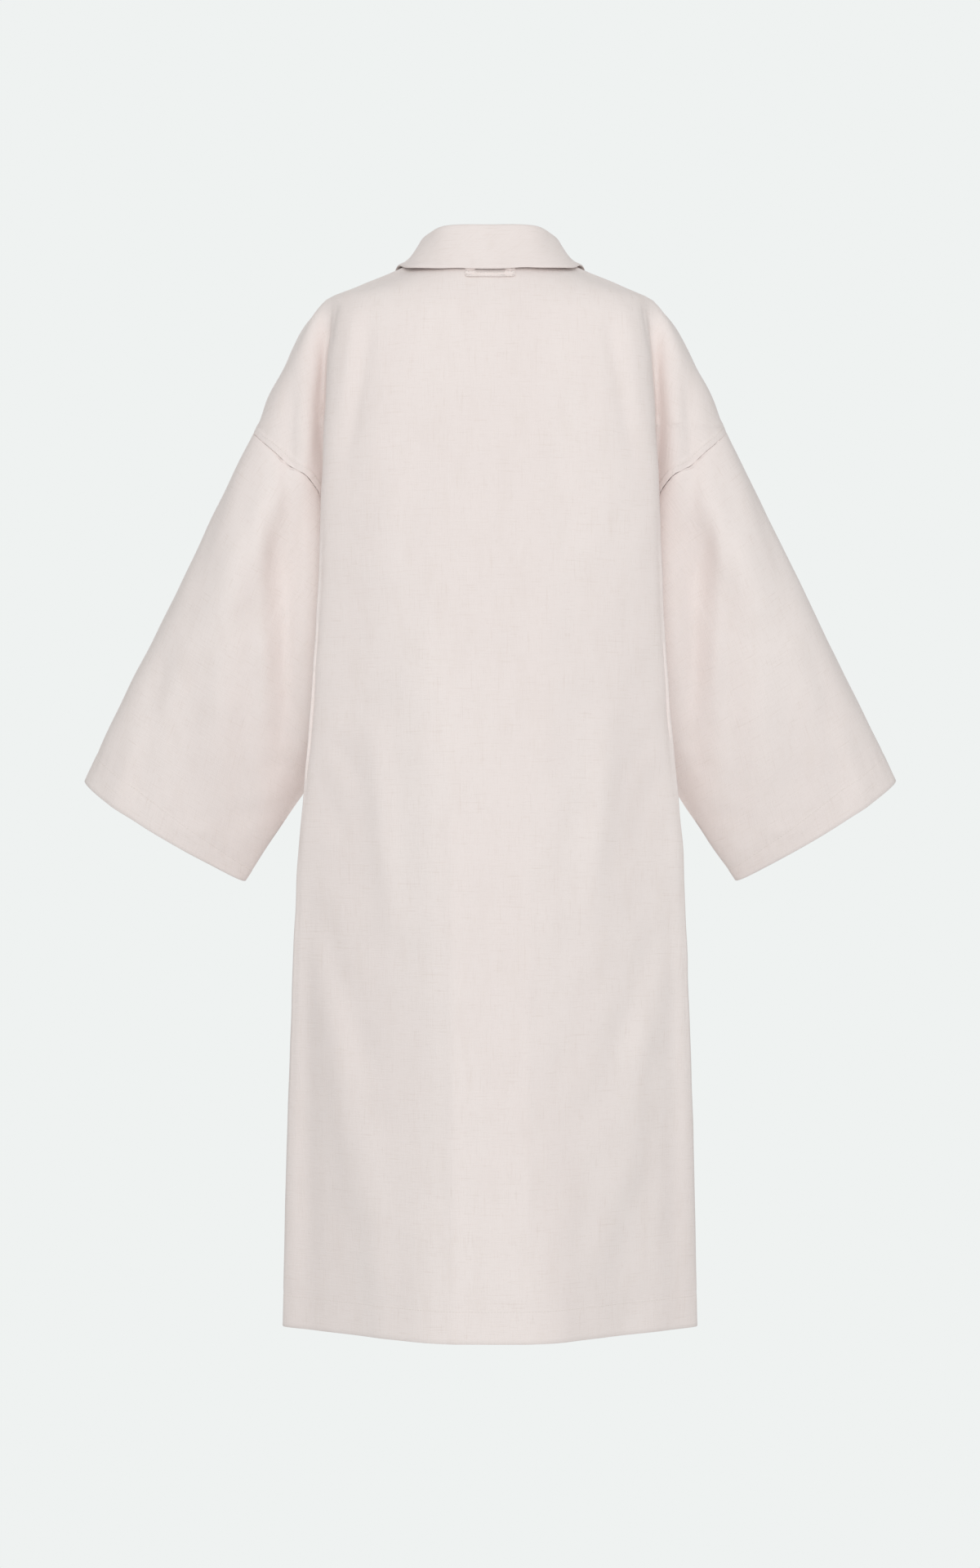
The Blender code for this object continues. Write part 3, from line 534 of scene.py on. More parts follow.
# Slow unevenness of the cloth: its wave lengths and heights
WAVES = table(
    "length height",
    (15.0,  0.055),
    (9.0,   0.035),
    (5.0,   0.018),
)
WAVES_OF_EACH = 3
WAVE_STRETCH = (1, 1, 0.4)
WAVE_SEED = 5
COLLAR_WAVES = (1.7, 0.5)

# The form of each side: its middle, its fold, its valley and its ridge
FORM = {
    "back": (BACK_MIDDLE, BACK_FOLD, BACK_VALLEY, BACK_RIDGE),
    "front": (FRONT_MIDDLE, FRONT_FOLD, FRONT_VALLEY, FRONT_RIDGE),
}


def follow(rows, name, at):
    """Reads a column at a place along the first one: smooth, with no overshoot."""
    places = next(iter(rows.values()))
    order = np.argsort(places)
    places, values = places[order], rows[name][order]
    gaps = np.diff(places)
    slopes = np.diff(values) / gaps
    product, total = slopes[:-1] * slopes[1:], slopes[:-1] + slopes[1:]
    inner = np.where(product > 0, 2 * product / np.where(product > 0, total, 1), 0)
    tangents = np.concatenate((slopes[:1], inner, slopes[-1:]))
    k = np.clip(np.searchsorted(places, at) - 1, 0, len(slopes) - 1)
    t = np.clip((at - places[k]) / gaps[k], 0, 1)
    low = (1 + 2 * t) * (1 - t) ** 2 * values[k] + t * (1 - t) ** 2 * gaps[k] * tangents[k]
    high = t * t * (3 - 2 * t) * values[k + 1] - t * t * (1 - t) * gaps[k] * tangents[k + 1]
    return low + high


def line_at(rows, name, z):
    """Where one of the form's lines lies at z."""
    return follow(rows, name + "_x", z), follow(rows, name + "_y", z)


def eased(share):
    """A share from 0 to 1, with a smooth start and end."""
    share = np.clip(share, 0, 1)
    return share * share * (3 - 2 * share)


def bell(distance, width):
    """One at no distance, and soft down to nothing over about two widths."""
    return np.exp(-(distance / width) ** 2)


def unit(vectors):
    """The vectors at length one."""
    return vectors / np.linalg.norm(vectors, axis=-1, keepdims=True)


def rounded_path(corners, sizes):
    """Joins corners by straight runs, each inner corner rounded by its own size."""
    corners = [np.array(corner, dtype=float) for corner in corners]
    points = [corners[0]]
    for before, here, after, size in zip(corners, corners[1:], corners[2:], sizes):
        start = here + (before - here) * min(size / np.linalg.norm(before - here), 0.5)
        end = here + (after - here) * min(size / np.linalg.norm(after - here), 0.5)
        for t in np.linspace(0, 1, CORNER_STEPS):
            points.append((1 - t) ** 2 * start + 2 * t * (1 - t) * here + t * t * end)
    points.append(corners[-1])
    return np.array(points)


def run_lengths(path):
    """The distance along a path to each of its points."""
    return np.concatenate(([0.0], np.cumsum(np.linalg.norm(np.diff(path, axis=0), axis=1))))


def row_runs(grid):
    """The distance along each row of a grid to each of its points."""
    return np.array([run_lengths(row) for row in grid])


def shares_along(path):
    """The share of a path's length at each of its points."""
    lengths = run_lengths(path)
    return lengths / lengths[-1]


def along(path, runs, values=None):
    """A path's points, or other values given for them, at distances along it."""
    columns = path.T if values is None else values.T
    lengths = run_lengths(path)
    return np.stack([np.interp(runs, lengths, column) for column in columns], -1)


def place_in(rising, value):
    """The fractional place of a value among rising ones."""
    return np.interp(value, rising, np.arange(len(rising)))


def between(values, rows, columns):
    """The values of a grid at fractional rows and columns."""
    r = np.clip(rows.astype(int), 0, values.shape[0] - 2)
    c = np.clip(columns.astype(int), 0, values.shape[1] - 2)
    down, across = (rows - r)[..., None], (columns - c)[..., None]
    upper = values[r, c] * (1 - across) + values[r, c + 1] * across
    lower = values[r + 1, c] * (1 - across) + values[r + 1, c + 1] * across
    return upper * (1 - down) + lower * down


def half_section(side, z):
    """The cloth's level section at z, from the centre to the panel's outer edge."""
    middle, fold, valley, ridge = FORM[side]
    y = follow(middle, "y", z)
    corners = [(0, y), (follow(middle, "facet_x", z), y), line_at(fold, "blade", z),
               line_at(fold, "fold", z), line_at(valley, "valley", z)]
    sizes = [ROUNDS["facet"], ROUNDS["blade"], ROUNDS["fold"]]
    if z <= SEAM_HIDES_Z:
        return rounded_path(corners, sizes)
    edge_x, edge_y = follow(SHOULDER, "x", z), follow(SHOULDER, "y", z)
    ridge_x, ridge_y = line_at(ridge, "ridge", z)
    tuck = SIDE_TUCK * min(1, (NECK_Z - z) / SIDE_TUCK_FADE)
    tucked = (edge_x - tuck, edge_y + SIDE_SHARE * (ridge_y - edge_y))
    corners += [(ridge_x, ridge_y), tucked, (edge_x, edge_y)]
    parted = min(1, (z - SEAM_HIDES_Z) / (TIP_Z - SEAM_HIDES_Z))
    sizes += [ROUNDS["valley"] * parted + LEAST_ROUND, ROUNDS["ridge"], ROUNDS["side"]]
    path = rounded_path(corners, sizes)
    if z >= TIP_Z:
        return path
    runs = run_lengths(path)
    end = min(runs[-1], runs[VALLEY_MIDDLE] + follow(SEAM_RUN, side, z))
    return np.vstack((path[runs < end - 1e-6], along(path, end)))


@functools.lru_cache(maxsize=None)
def sections(side):
    """Close-set level sections: their depths below the side neck, and x, y and run by share."""
    depths = np.concatenate((np.arange(0, FINE_DEPTH, FINE_LEVEL),
                             np.arange(FINE_DEPTH, NECK_Z - HEM_Z + LEVEL, LEVEL)))
    levels = []
    for depth in depths:
        path = half_section(side, NECK_Z - depth)
        lengths = run_lengths(path)
        runs = np.interp(SHARES, (0, FOLD_SHARE, 1), (0, lengths[FOLD_MIDDLE], lengths[-1]))
        levels.append(np.column_stack((along(path, runs), runs)))
    return depths, np.array(levels)


def cloth(side, shares, z):
    """Points of the front or back by share and height, and the run from the centre to each."""
    depths, levels = sections(side)
    shares, z = np.broadcast_arrays(shares, z)
    mixed = between(levels, place_in(depths, NECK_Z - z), shares * (len(SHARES) - 1))
    return np.stack((mixed[..., 0], mixed[..., 1], z), -1), mixed[..., 2]


def front_at(run, z):
    """The point of the front at a distance from its centre, at a height."""
    depths, levels = sections("front")
    row = np.argmin(np.abs(depths - (NECK_Z - z)))
    return cloth("front", np.interp(run, levels[row][:, 2], SHARES), z)[0]


def over_front(run, z, lift):
    """A point of the front moved out from the cloth."""
    across = front_at(run + NEAR, z) - front_at(max(run - NEAR, 0), z)
    down = front_at(run, z - NEAR) - front_at(run, z + NEAR)
    return front_at(run, z) - unit(np.cross(across, down)) * lift


def row_heights():
    """Where each row of a body panel meets its outer edge, closer where the seam crosses."""
    z = np.linspace(SEAM_PARTS_Z, SEAM_HIDES_Z, SEAM_SAMPLES)
    lengths = run_lengths(np.column_stack((follow(SEAM_RUN, "back", z), z)))
    over_arm = np.interp(np.arange(0, lengths[-1], ROW_STEP), lengths, z)
    turn = HEM_Z + HEM_TURN
    spans = (
        (NECK_Z, TIP_Z, ROW_STEP), (SEAM_HIDES_Z, UNDERARM_Z, ROW_STEP),
        (UNDERARM_Z, turn + TURN_GAP, LONG_ROW_STEP), (turn - TURN_GAP, HEM_Z, ROW_STEP),
    )
    runs = [np.linspace(start, end, round((start - end) / step), endpoint=False)
            for start, end, step in spans]
    parts = (runs[0], (TIP_Z,), over_arm, *runs[1:3], (turn + TURN_GAP,), runs[3], (HEM_Z,))
    return np.concatenate(parts)


def ring_ways():
    """How far down the sleeve each ring lies, closer at the seam and where the cuff turns."""
    turn, step = 1 - CUFF_TURN / SLEEVE_LENGTH, TURN_GAP / SLEEVE_LENGTH
    return np.concatenate((
        np.array(CLOSE_RINGS) / SLEEVE_LENGTH,
        np.linspace(FIRST_RING / SLEEVE_LENGTH, turn - step, SLEEVE_RINGS),
        np.linspace(turn + step, 1, CUFF_RINGS),
    ))


# The rows of the body panels with their walls, and the rings of the sleeves with theirs
HEIGHTS = row_heights()
TIP = int(np.argmin(np.abs(HEIGHTS - TIP_Z)))
UNDERARM = int(np.argmin(np.abs(HEIGHTS - UNDERARM_Z)))
ARMHOLE = slice(TIP, UNDERARM + 1)
BODY_WALLS = np.where(HEIGHTS < HEM_Z + HEM_TURN, TURNED_CLOTH, CLOTH)
SLEEVE_LENGTH = np.linalg.norm(CUFF_OUTER - cloth("back", 1.0, TIP_Z)[0])
WAYS = ring_ways()
SLEEVE_WALLS = np.where(WAYS > 1 - CUFF_TURN / SLEEVE_LENGTH, TURNED_CLOTH, CLOTH)


def column_shares(side):
    """The columns of half a body panel, closer at the seams and beside the front band."""
    inner = np.linspace(0, FOLD_SHARE, COLUMNS_TO_FOLD, endpoint=False)
    outer = np.linspace(FOLD_SHARE, 1, COLUMNS_PAST_FOLD)[:-1]
    outer = outer[outer < CLOSE_COLUMNS[0] - CLOSE_GAP]
    beside_band = BAND_COLUMNS if side == "front" else ()
    return np.sort(np.concatenate((inner, outer, CLOSE_COLUMNS, beside_band, (1.0,))))


def under_neckline(side, shares, edge_z):
    """The cloth of rows that meet the outer edge at edge_z and drop towards the centre."""
    fade = np.maximum(0, 1 - (NECK_Z - edge_z) / (NECK_Z - DROP_ENDS_Z[side]))
    roundness, depth = DROP_CURVE[side]
    return cloth(side, shares, edge_z - NECK_DROP[side] * fade * (1 - shares ** roundness) ** depth)


def cuff_path(side):
    """Half of the cuff's edge, from its outer corner to its inner one."""
    half = np.linalg.norm(CUFF_INNER - CUFF_OUTER) / 2
    across = unit(CUFF_INNER - CUFF_OUTER)
    swell = unit(np.array((-across[2] * CUFF_LEAN, 1, across[0] * CUFF_LEAN))) * SIDES[side]
    turns = np.linspace(0, math.pi, CUFF_STEPS)[:, None]
    bulge = CUFF_HALF_DEPTH * np.sin(turns) * (1 + CUFF_FULLER_OUTSIDE * np.cos(turns))
    return CUFF_OUTER + across * half * (1 - np.cos(turns)) + swell * bulge


def sleeve_half(side, seam):
    """Rings of points over one side of the sleeve, from its armhole seam to the cuff."""
    shares, cuff = shares_along(seam), cuff_path(side)
    cuff_points = along(cuff, shares * run_lengths(cuff)[-1])
    ways = WAYS[:, None]
    swell = SLEEVE_SWELL[side] * np.sin(math.pi * ways ** SWELL_EARLY)
    lift = np.sin(math.pi * np.clip(shares, 0, 1))[None, :] ** SWELL_BREADTH * swell
    ways = ways[:, :, None]
    return (1 - ways) * seam + ways * cuff_points + lift[:, :, None] * (0, SIDES[side], 0)


def normals_of(grid, closed, sign):
    """The cloth's outward direction at each point of a grid."""
    if closed:
        across = np.roll(grid, -1, axis=1) - np.roll(grid, 1, axis=1)
    else:
        across = np.gradient(grid, axis=1)
    return unit(np.cross(across, np.gradient(grid, axis=0)) * sign)


def left_half():
    """The grids of the back, the front and the left sleeve, with their directions and runs."""
    grids, runs = {}, {}
    for side in SIDES:
        shares = column_shares(side)[None, :]
        grids[side], runs[side] = under_neckline(side, shares, HEIGHTS[:, None])
    joined = (np.arange(len(HEIGHTS)) <= TIP) | (np.arange(len(HEIGHTS)) >= UNDERARM)
    grids["front"][joined, -1] = grids["back"][joined, -1]
    back, front = (sleeve_half(side, grids[side][ARMHOLE, -1]) for side in SIDES)
    grids["sleeve"] = np.concatenate((back, front[:, -2:0:-1]), axis=1)
    return grids, shared_ways(grids), runs


def shared_ways(grids):
    """The outward directions of each grid, the same for both sides of a seam."""
    ways = {side: normals_of(grids[side], False, sign) for side, sign in SIDES.items()}
    ways["sleeve"] = normals_of(grids["sleeve"], True, -1)
    for side in SIDES:
        ways[side][:, 0, 0] = 0
        ways[side] = unit(ways[side])
    ring, inner, count = ways["sleeve"][0], slice(TIP + 1, UNDERARM), UNDERARM - TIP
    both = unit(ways["back"][:, -1] + ways["front"][:, -1])
    both[[TIP, UNDERARM]] = unit(both[[TIP, UNDERARM]] + ring[[0, count]])
    for side, beside in (("back", ring[1:count]), ("front", ring[:-count:-1])):
        own = unit(ways[side][inner, -1] + beside)
        ways[side][:, -1] = both
        ways[side][inner, -1] = own
    back, front = (ways[side][ARMHOLE, -1] for side in SIDES)
    ways["sleeve"][0] = np.concatenate((back, front[-2:0:-1]))
    return ways


def soft_line(x, z, ends, width):
    """A soft ridge of height one along a bent line over the cloth."""
    t = np.linspace(0, 1, CREASE_STEPS)[:, None]
    start, bend, end = np.array(ends)
    path = (1 - t) ** 2 * start + 2 * t * (1 - t) * bend + t * t * end
    nearest, place = np.full(x.shape, np.inf), np.zeros(x.shape)
    for k, (p, q) in enumerate(zip(path, path[1:])):
        step = q - p
        s = np.clip(((x - p[0]) * step[0] + (z - p[1]) * step[1]) / (step @ step), 0, 1)
        gap = np.hypot(x - p[0] - s * step[0], z - p[1] - s * step[1])
        place = np.where(gap < nearest, (k + s) / (len(path) - 1), place)
        nearest = np.minimum(gap, nearest)
    return bell(nearest, width) * eased(CREASE_TAPER * np.minimum(place, 1 - place))


def creases(side, x, z):
    """How far out the creases of one side bring the cloth."""
    out = np.zeros(x.shape)
    for x0, z0, xm, zm, x1, z1, width, height, right in zip(*CREASES[side].values()):
        ends = ((x0, z0), (xm, zm), (x1, z1))
        out += height * soft_line(x, z, ends, width)
        out += height * right * soft_line(-x, z, ends, width)
    return out


def waves(points):
    """Slow unevenness, longer down the cloth than across it."""
    random = np.random.default_rng(WAVE_SEED)
    out = np.zeros(points.shape[:-1])
    for length, height in zip(*WAVES.values()):
        for _ in range(WAVES_OF_EACH):
            way = unit(random.normal(size=3) * WAVE_STRETCH)
            out += height * np.sin(points @ way * 2 * math.pi / length + random.uniform(0, 6.28))
    return out


def distance_to(points, line):
    """How far each point is from the nearest of a line's close-set points."""
    gaps = np.full(points.shape[:-1], np.inf)
    for spot in along(line, np.arange(0, run_lengths(line)[-1], SEAM_SAMPLE_STEP)):
        gaps = np.minimum(gaps, np.sum((points - spot) ** 2, axis=-1))
    return np.sqrt(gaps)


def groove(distance):
    """The dip of the cloth at a seam."""
    return -GROOVE_DEPTH * bell(distance, GROOVE_WIDTH)


def puckers(run, distance):
    """Small waves beside a row of stitches."""
    share, turns, start = PUCKER_BEAT
    ripple = np.sin(2 * math.pi * run / PUCKER_LENGTH) + share * np.sin(turns * run + start)
    return PUCKER_HEIGHT * ripple * bell(distance, PUCKER_REACH)


def stitched_turn(run, distance):
    """The dip and the puckers where a turned edge is stitched down."""
    return puckers(run, distance) - TURN_DIP * bell(distance, TURN_DIP_WIDTH)


def free_of_seams(heights, seam_gap):
    """How free the cloth is to crease: less beside a seam that lies hidden in a valley."""
    return 1 - np.interp(heights, HELD_Z, (1, 0)) * bell(seam_gap, HELD_REACH)


def creased(points, out, calm):
    """How far out each point goes with the creases and waves, less where the cloth is calm."""
    total = waves(points)
    for side, sign in SIDES.items():
        turned = eased(CREASE_TURN * sign * out[..., 1])
        total += turned * creases(side, points[..., 0], points[..., 2])
    return total * calm


def dressed_body(form, side, sign):
    """Half a body panel on the wearer's left (sign 1) or right, with creases and seams."""
    grids, ways, runs = form
    points, out = grids[side] * (sign, 1, 1), ways[side] * (sign, 1, 1)
    x, z = points[..., 0], points[..., 2]
    by_armhole = distance_to(points, points[ARMHOLE, -1])
    by_side = distance_to(points, points[UNDERARM:, -1])
    by_neck = NECK_Z - z - NECK_DROP[side] * (np.abs(x) < NECK_HALF_WIDTH)
    calm = NECK_CALM + (1 - NECK_CALM) * eased(by_neck / NECK_CALM_DEPTH)
    calm *= free_of_seams(z, np.minimum(by_armhole, by_side))
    if side == "front":
        calm *= 1 - (1 - BAND_CALM) * bell(x, BAND_CALM_REACH)
    relief = groove(by_armhole) + groove(by_side)
    relief += stitched_turn(runs[side], np.abs(z - (HEM_Z + HEM_TURN)))
    relief += BAND_HEIGHT * eased((BAND_WIDTH - by_armhole) / BAND_EDGE) * (by_armhole > 0.01)
    return points + out * (creased(points, out, calm) + relief)[..., None]


def dressed_sleeve(form, sign):
    """The left (sign 1) or right sleeve, with creases, seam and stitched cuff."""
    points, out = (values["sleeve"] * (sign, 1, 1) for values in form[:2])
    by_seam = distance_to(points, np.vstack((points[0], points[0][:1])))
    by_cuff = np.abs(WAYS[:, None] * SLEEVE_LENGTH - (SLEEVE_LENGTH - CUFF_TURN))
    around = row_runs(points)
    relief = groove(by_seam) + stitched_turn(around, by_cuff)
    relief += SEAM_PUCKERS * puckers(around, by_seam)
    calm = free_of_seams(points[0][:, 2], by_seam)
    return points + out * (creased(points, out, calm) + relief)[..., None]


def finished(mesh, name):
    """The data of a mesh that is ready."""
    data = bpy.data.meshes.new(name)
    mesh.to_mesh(data)
    mesh.free()
    return data


def placed(name, data):
    """A new object in the scene."""
    thing = bpy.data.objects.new(name, data)
    bpy.context.scene.collection.objects.link(thing)
    return thing


def add_object(name, mesh, made):
    """Puts one piece in the scene: smooth, riding on the frame, with its material and slot."""
    bmesh.ops.recalc_face_normals(mesh, faces=mesh.faces)
    data = finished(mesh, name)
    data.materials.append(made)
    data.shade_smooth()
    data.set_sharp_from_angle(angle=SHARP_ANGLE)
    piece = placed(name, data)
    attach(piece, "root")
    return piece


def from_arrays(points, faces, places=None):
    """A mesh from arrays of points and faces, with its flat places as its UV map."""
    data = bpy.data.meshes.new("arrays")
    data.from_pydata((points * CM).tolist(), [], faces)
    if places is not None:
        layer = data.uv_layers.new(name="cut")
        corners = np.empty(len(data.loops), dtype=np.int32)
        data.loops.foreach_get("vertex_index", corners)
        layer.data.foreach_set("uv", (places * CM)[corners].astype(np.float32).ravel())
    mesh = bmesh.new()
    mesh.from_mesh(data)
    bpy.data.meshes.remove(data)
    return mesh


def flat_places(grid, closed):
    """Each point's place in the flat cloth: across its row, and up its column from the end."""
    half, across = grid.shape[1] // 2, row_runs(grid)
    if closed:
        across = np.where(np.arange(grid.shape[1]) <= half, across, across - across[:, -1:])
    else:
        across -= across[:, [half]]
    up = row_runs(grid[::-1].transpose(1, 0, 2)).T[::-1]
    return np.stack((across, up), -1)


def grid_faces(index, closed=True):
    """The faces of a grid of point numbers: each point, the next in its row, and both below."""
    after = np.roll(index, -1, axis=1)
    if not closed:
        index, after = index[:, :-1], after[:, :-1]
    return np.stack((index[:-1], after[:-1], after[1:], index[1:]), -1).reshape(-1, 4)


def edge_loops(index, closed):
    """The open edges of a grid of point numbers, each with the points next to it."""
    if closed:
        return [(index[0], index[1]), (index[-1], index[-2])]
    rim = np.concatenate((index[0], index[1:, -1], index[-1, -2::-1], index[-2:0:-1, 0]))
    near = np.concatenate((index[1], index[1:, -2], index[-2, -2::-1], index[-2:0:-1, 1]))
    return [(rim, near)]


def shell(name, outer, walls, made, edges, closed=False, sign=1):
    """A thin cloth with an outside, an inside and rounded free edges, from a grid of points."""
    free = np.zeros(outer.shape[:2], dtype=bool)
    for edge in edges:
        free[edge] = True
    inner = outer - normals_of(outer, closed, sign) * walls[:, None, None]
    outside, inside = outer.reshape(-1, 3), inner.reshape(-1, 3)
    flat = flat_places(outer, closed).reshape(-1, 2)
    index = np.arange(len(outside)).reshape(free.shape)
    points, flats = [outside, inside], [flat, flat]
    faces = [grid_faces(index, closed)[:, [0, 3, 2, 1]], grid_faces(index + index.size, closed)]
    start = 2 * index.size
    for rim, near in edge_loops(index, closed):
        reach = free.reshape(-1)[rim] * walls[rim // free.shape[1]] / 2
        aside = unit(outside[rim] - outside[near]) * reach[:, None]
        points.append((outside[rim] + inside[rim]) / 2 + aside)
        flats.append(flat[rim])
        middle = start + np.arange(len(rim))
        faces.append(grid_faces(np.stack((rim, middle, rim + index.size))))
        start += len(rim)
    mesh = from_arrays(np.vstack(points), np.vstack(faces).tolist(), np.vstack(flats))
    return add_object(name, mesh, made)


def add_back(form, made):
    """The back, in one piece from side to side."""
    right, left = (dressed_body(form, "back", sign) for sign in (-1, 1))
    whole = np.concatenate((right[:, :0:-1], left), axis=1)
    return shell("back_cloth", whole, BODY_WALLS, made, [-1]), whole


def add_front(form, made, hand):
    """One front, from its edge past the centre to the side."""
    sign = HANDS[hand]
    half = dressed_body(form, "front", sign)
    edge = half[:, :1] * 1.0
    edge[:, :, 0] = -FRONT_LAP * sign
    whole = np.concatenate((edge, (edge + half[:, :1]) / 2, half), axis=1)
    if hand == "right":
        share = eased((LAP_FADE + whole[:, :, 0]) / (LAP_FADE - FRONT_LAP))
        whole[:, :, 1] += LAP_STEP * share
    edges = [-1, np.s_[:, 0]]
    return shell(f"front_{hand}_cloth", whole, BODY_WALLS, made, edges, sign=-sign), whole


def add_sleeve(form, made, hand):
    """One sleeve, a tube from the armhole seam to the cuff."""
    sign = HANDS[hand]
    rings = dressed_sleeve(form, sign)
    name = f"sleeve_{hand}_cloth"
    return shell(name, rings, SLEEVE_WALLS, made, [-1], closed=True, sign=-sign), rings


def half_neckline(grids):
    """The neck seam from the centre back round to the collar's front end."""
    centre = grids["front"][0][0]
    front = grids["front"][0][grids["front"][0][:, 0] > COLLAR_END_X][::-1][1:]
    end = front[-1] + (centre - front[-1]) * (1 - COLLAR_END_X / front[-1][0])
    whole = np.vstack((grids["back"][0], front, end))
    length = run_lengths(whole)[-1]
    return along(whole, np.linspace(0, length, round(length / COLLAR_STEP)))


def fall_edge(share):
    """The collar's lower edge: hanging free at the back, lying on the front."""
    if share < FALL_FRONT["share"][0]:
        return np.array([follow(FALL_BACK, name, share) for name in "xyz"])
    return over_front(follow(FALL_FRONT, "run", share), follow(FALL_FRONT, "z", share), FALL_LIFT)


@functools.lru_cache(maxsize=None)
def cloth_by_the_neck():
    """Close-set points of the cloth near the neck, and its outward direction at each."""
    points, ways = [], []
    for side, sign in SIDES.items():
        edge_z = np.arange(NECK_Z, PATCH_BOTTOM_Z, -PATCH_STEP)[:, None]
        patch = under_neckline(side, np.linspace(0, 1, PATCH_COLUMNS)[None, :], edge_z)[0]
        points.append(patch.reshape(-1, 3))
        ways.append(normals_of(patch, False, sign).reshape(-1, 3))
    return np.vstack(points), np.vstack(ways)


def over_cloth(point, points, ways):
    """How high a point lies over the nearest of a cloth's points, and the way out there."""
    nearest = np.argmin(np.sum((points - point) ** 2, axis=1))
    return (point - points[nearest]) @ ways[nearest], ways[nearest]


def kept_off(point, lift):
    """The point, moved out if it is nearer the cloth than lift."""
    height, way = over_cloth(point, *cloth_by_the_neck())
    return point + way * max(0.0, lift - height)


def collar_profile(seam, share):
    """The middle line of the folded collar: up the stand, over the roll, down the fall."""
    inwards = unit(np.array((-seam[0], -1 - seam[1], 0)))
    rise = np.array((0, 0, follow(ROLL, "z", share) - seam[2]))
    roll = seam + rise + inwards * follow(ROLL, "lean", share)
    edge = fall_edge(share)
    outwards = unit((edge - roll) * (1, 1, 0)) * ROLL_HALF_WIDTH
    foot = seam + inwards * COLLAR_CLOTH / 2
    path = rounded_path([foot, roll - outwards, roll + outwards, edge], [ROLL_HALF_WIDTH] * 2)
    stand = [foot + (path[1] - foot) * t for t in STAND_STEPS]
    bends = [*path[1:CORNER_STEPS + 1:BEND_STEP], *path[CORNER_STEPS + 1:-1:BEND_STEP]]
    fall = [kept_off(path[-2] + (edge - path[-2]) * t, FALL_LIFT) for t in FALL_STEPS]
    return np.array(stand + bends + fall)


def add_collar(grids, made):
    """The collar, folded over, from one front end round the neck to the other."""
    seam = half_neckline(grids)
    half = np.array([collar_profile(*place) for place in zip(seam, shares_along(seam))])
    for _ in range(COLLAR_SMOOTHINGS):
        before = np.concatenate((half[1:2] * (-1, 1, 1), half[:-2]))
        half[:-1, 1:] = (before[:, 1:] + 2 * half[:-1, 1:] + half[1:, 1:]) / 4
    middle = np.concatenate((half[:0:-1] * (-1, 1, 1), half))
    out = normals_of(middle, False, 1)
    calm = np.linspace(0, 1, middle.shape[1])[None, :] ** 2
    closer, share = COLLAR_WAVES
    middle = middle + out * (waves(middle * closer) * share * calm)[..., None]
    outer = middle + normals_of(middle, False, 1) * COLLAR_CLOTH / 2
    by_edge = row_runs(outer[:, ::-1])[:, ::-1]
    dip = TURN_DIP * bell(by_edge - COLLAR_STITCH_INSET, COLLAR_DIP_WIDTH)
    outer = outer - out * dip[..., None]
    walls = np.full(len(outer), COLLAR_CLOTH)
    return shell("collar_cloth", outer, walls, made, [...]), outer


def circle(sides):
    """The cosines and sines of a full turn in equal steps."""
    turns = np.arange(sides)[:, None] * 2 * math.pi / sides
    return np.cos(turns), np.sin(turns)


def stitch(spot, out, head):
    """The rings of one stitch, which dips at both ends."""
    cos, sin = circle(STITCH_SIDES)
    around = (cos * np.cross(head, out) + sin * out) * THREAD_RADIUS
    return np.array([
        spot + head * way * STITCH + out * height * THREAD_RADIUS + around * girth
        for way, height, girth in zip(*STITCH_RINGS.values())
    ])


def tube(path, radius):
    """Rings of one radius round a short path."""
    cos, sin = circle(TUBE_SIDES)
    rings = []
    for spot, head in zip(path, unit(np.gradient(path, axis=0))):
        aside = unit(np.cross(head, TUBE_HELPER))
        rings.append(spot + radius * (cos * aside + sin * np.cross(head, aside)))
    return np.array(rings)


def tubes_mesh(tubes):
    """A mesh of closed tubes, each given as its rings."""
    faces, start = [], 0
    for rings in tubes:
        count = rings.shape[0] * rings.shape[1]
        index = start + np.arange(count).reshape(rings.shape[:2])
        faces += grid_faces(index).tolist() + [index[0, ::-1].tolist(), index[-1].tolist()]
        start += count
    return from_arrays(np.vstack([rings.reshape(-1, 3) for rings in tubes]), faces)


def add_stitches(name, lines, made):
    """Rows of stitches along lines on the cloth, as small threads."""
    step, tubes = STITCH + STITCH_GAP, []
    for line, ways in lines:
        runs = np.arange(step / 2, run_lengths(line)[-1], step)
        spots, outs = along(line, runs), unit(along(line, runs, ways))
        heads = unit(np.gradient(spots, axis=0))
        tubes += [stitch(*place) for place in zip(spots, outs, heads)]
    return add_object(name, tubes_mesh(tubes), made)


def on_grid(grid, rows, columns, sign, closed=False):
    """Points and directions of a panel at fractional rows and columns of its grid."""
    rows, columns = np.broadcast_arrays(np.array(rows, float), np.array(columns, float))
    ways = between(normals_of(grid, closed, sign), rows, columns)
    return between(grid, rows, columns), unit(ways)


def hem_line(grid, sign):
    """Where the turned hem is stitched."""
    row = place_in(-HEIGHTS, -(HEM_Z + HEM_TURN - STITCH_INSET))
    return on_grid(grid, row, np.arange(grid.shape[1]), sign)


def cuff_line(grid, sign):
    """Where the turned cuff is stitched, all round."""
    row = place_in(WAYS, 1 - (CUFF_TURN - STITCH_INSET) / SLEEVE_LENGTH)
    points, out = on_grid(grid, row, np.arange(grid.shape[1]), sign, closed=True)
    return np.vstack((points, points[:1])), np.vstack((out, out[:1]))


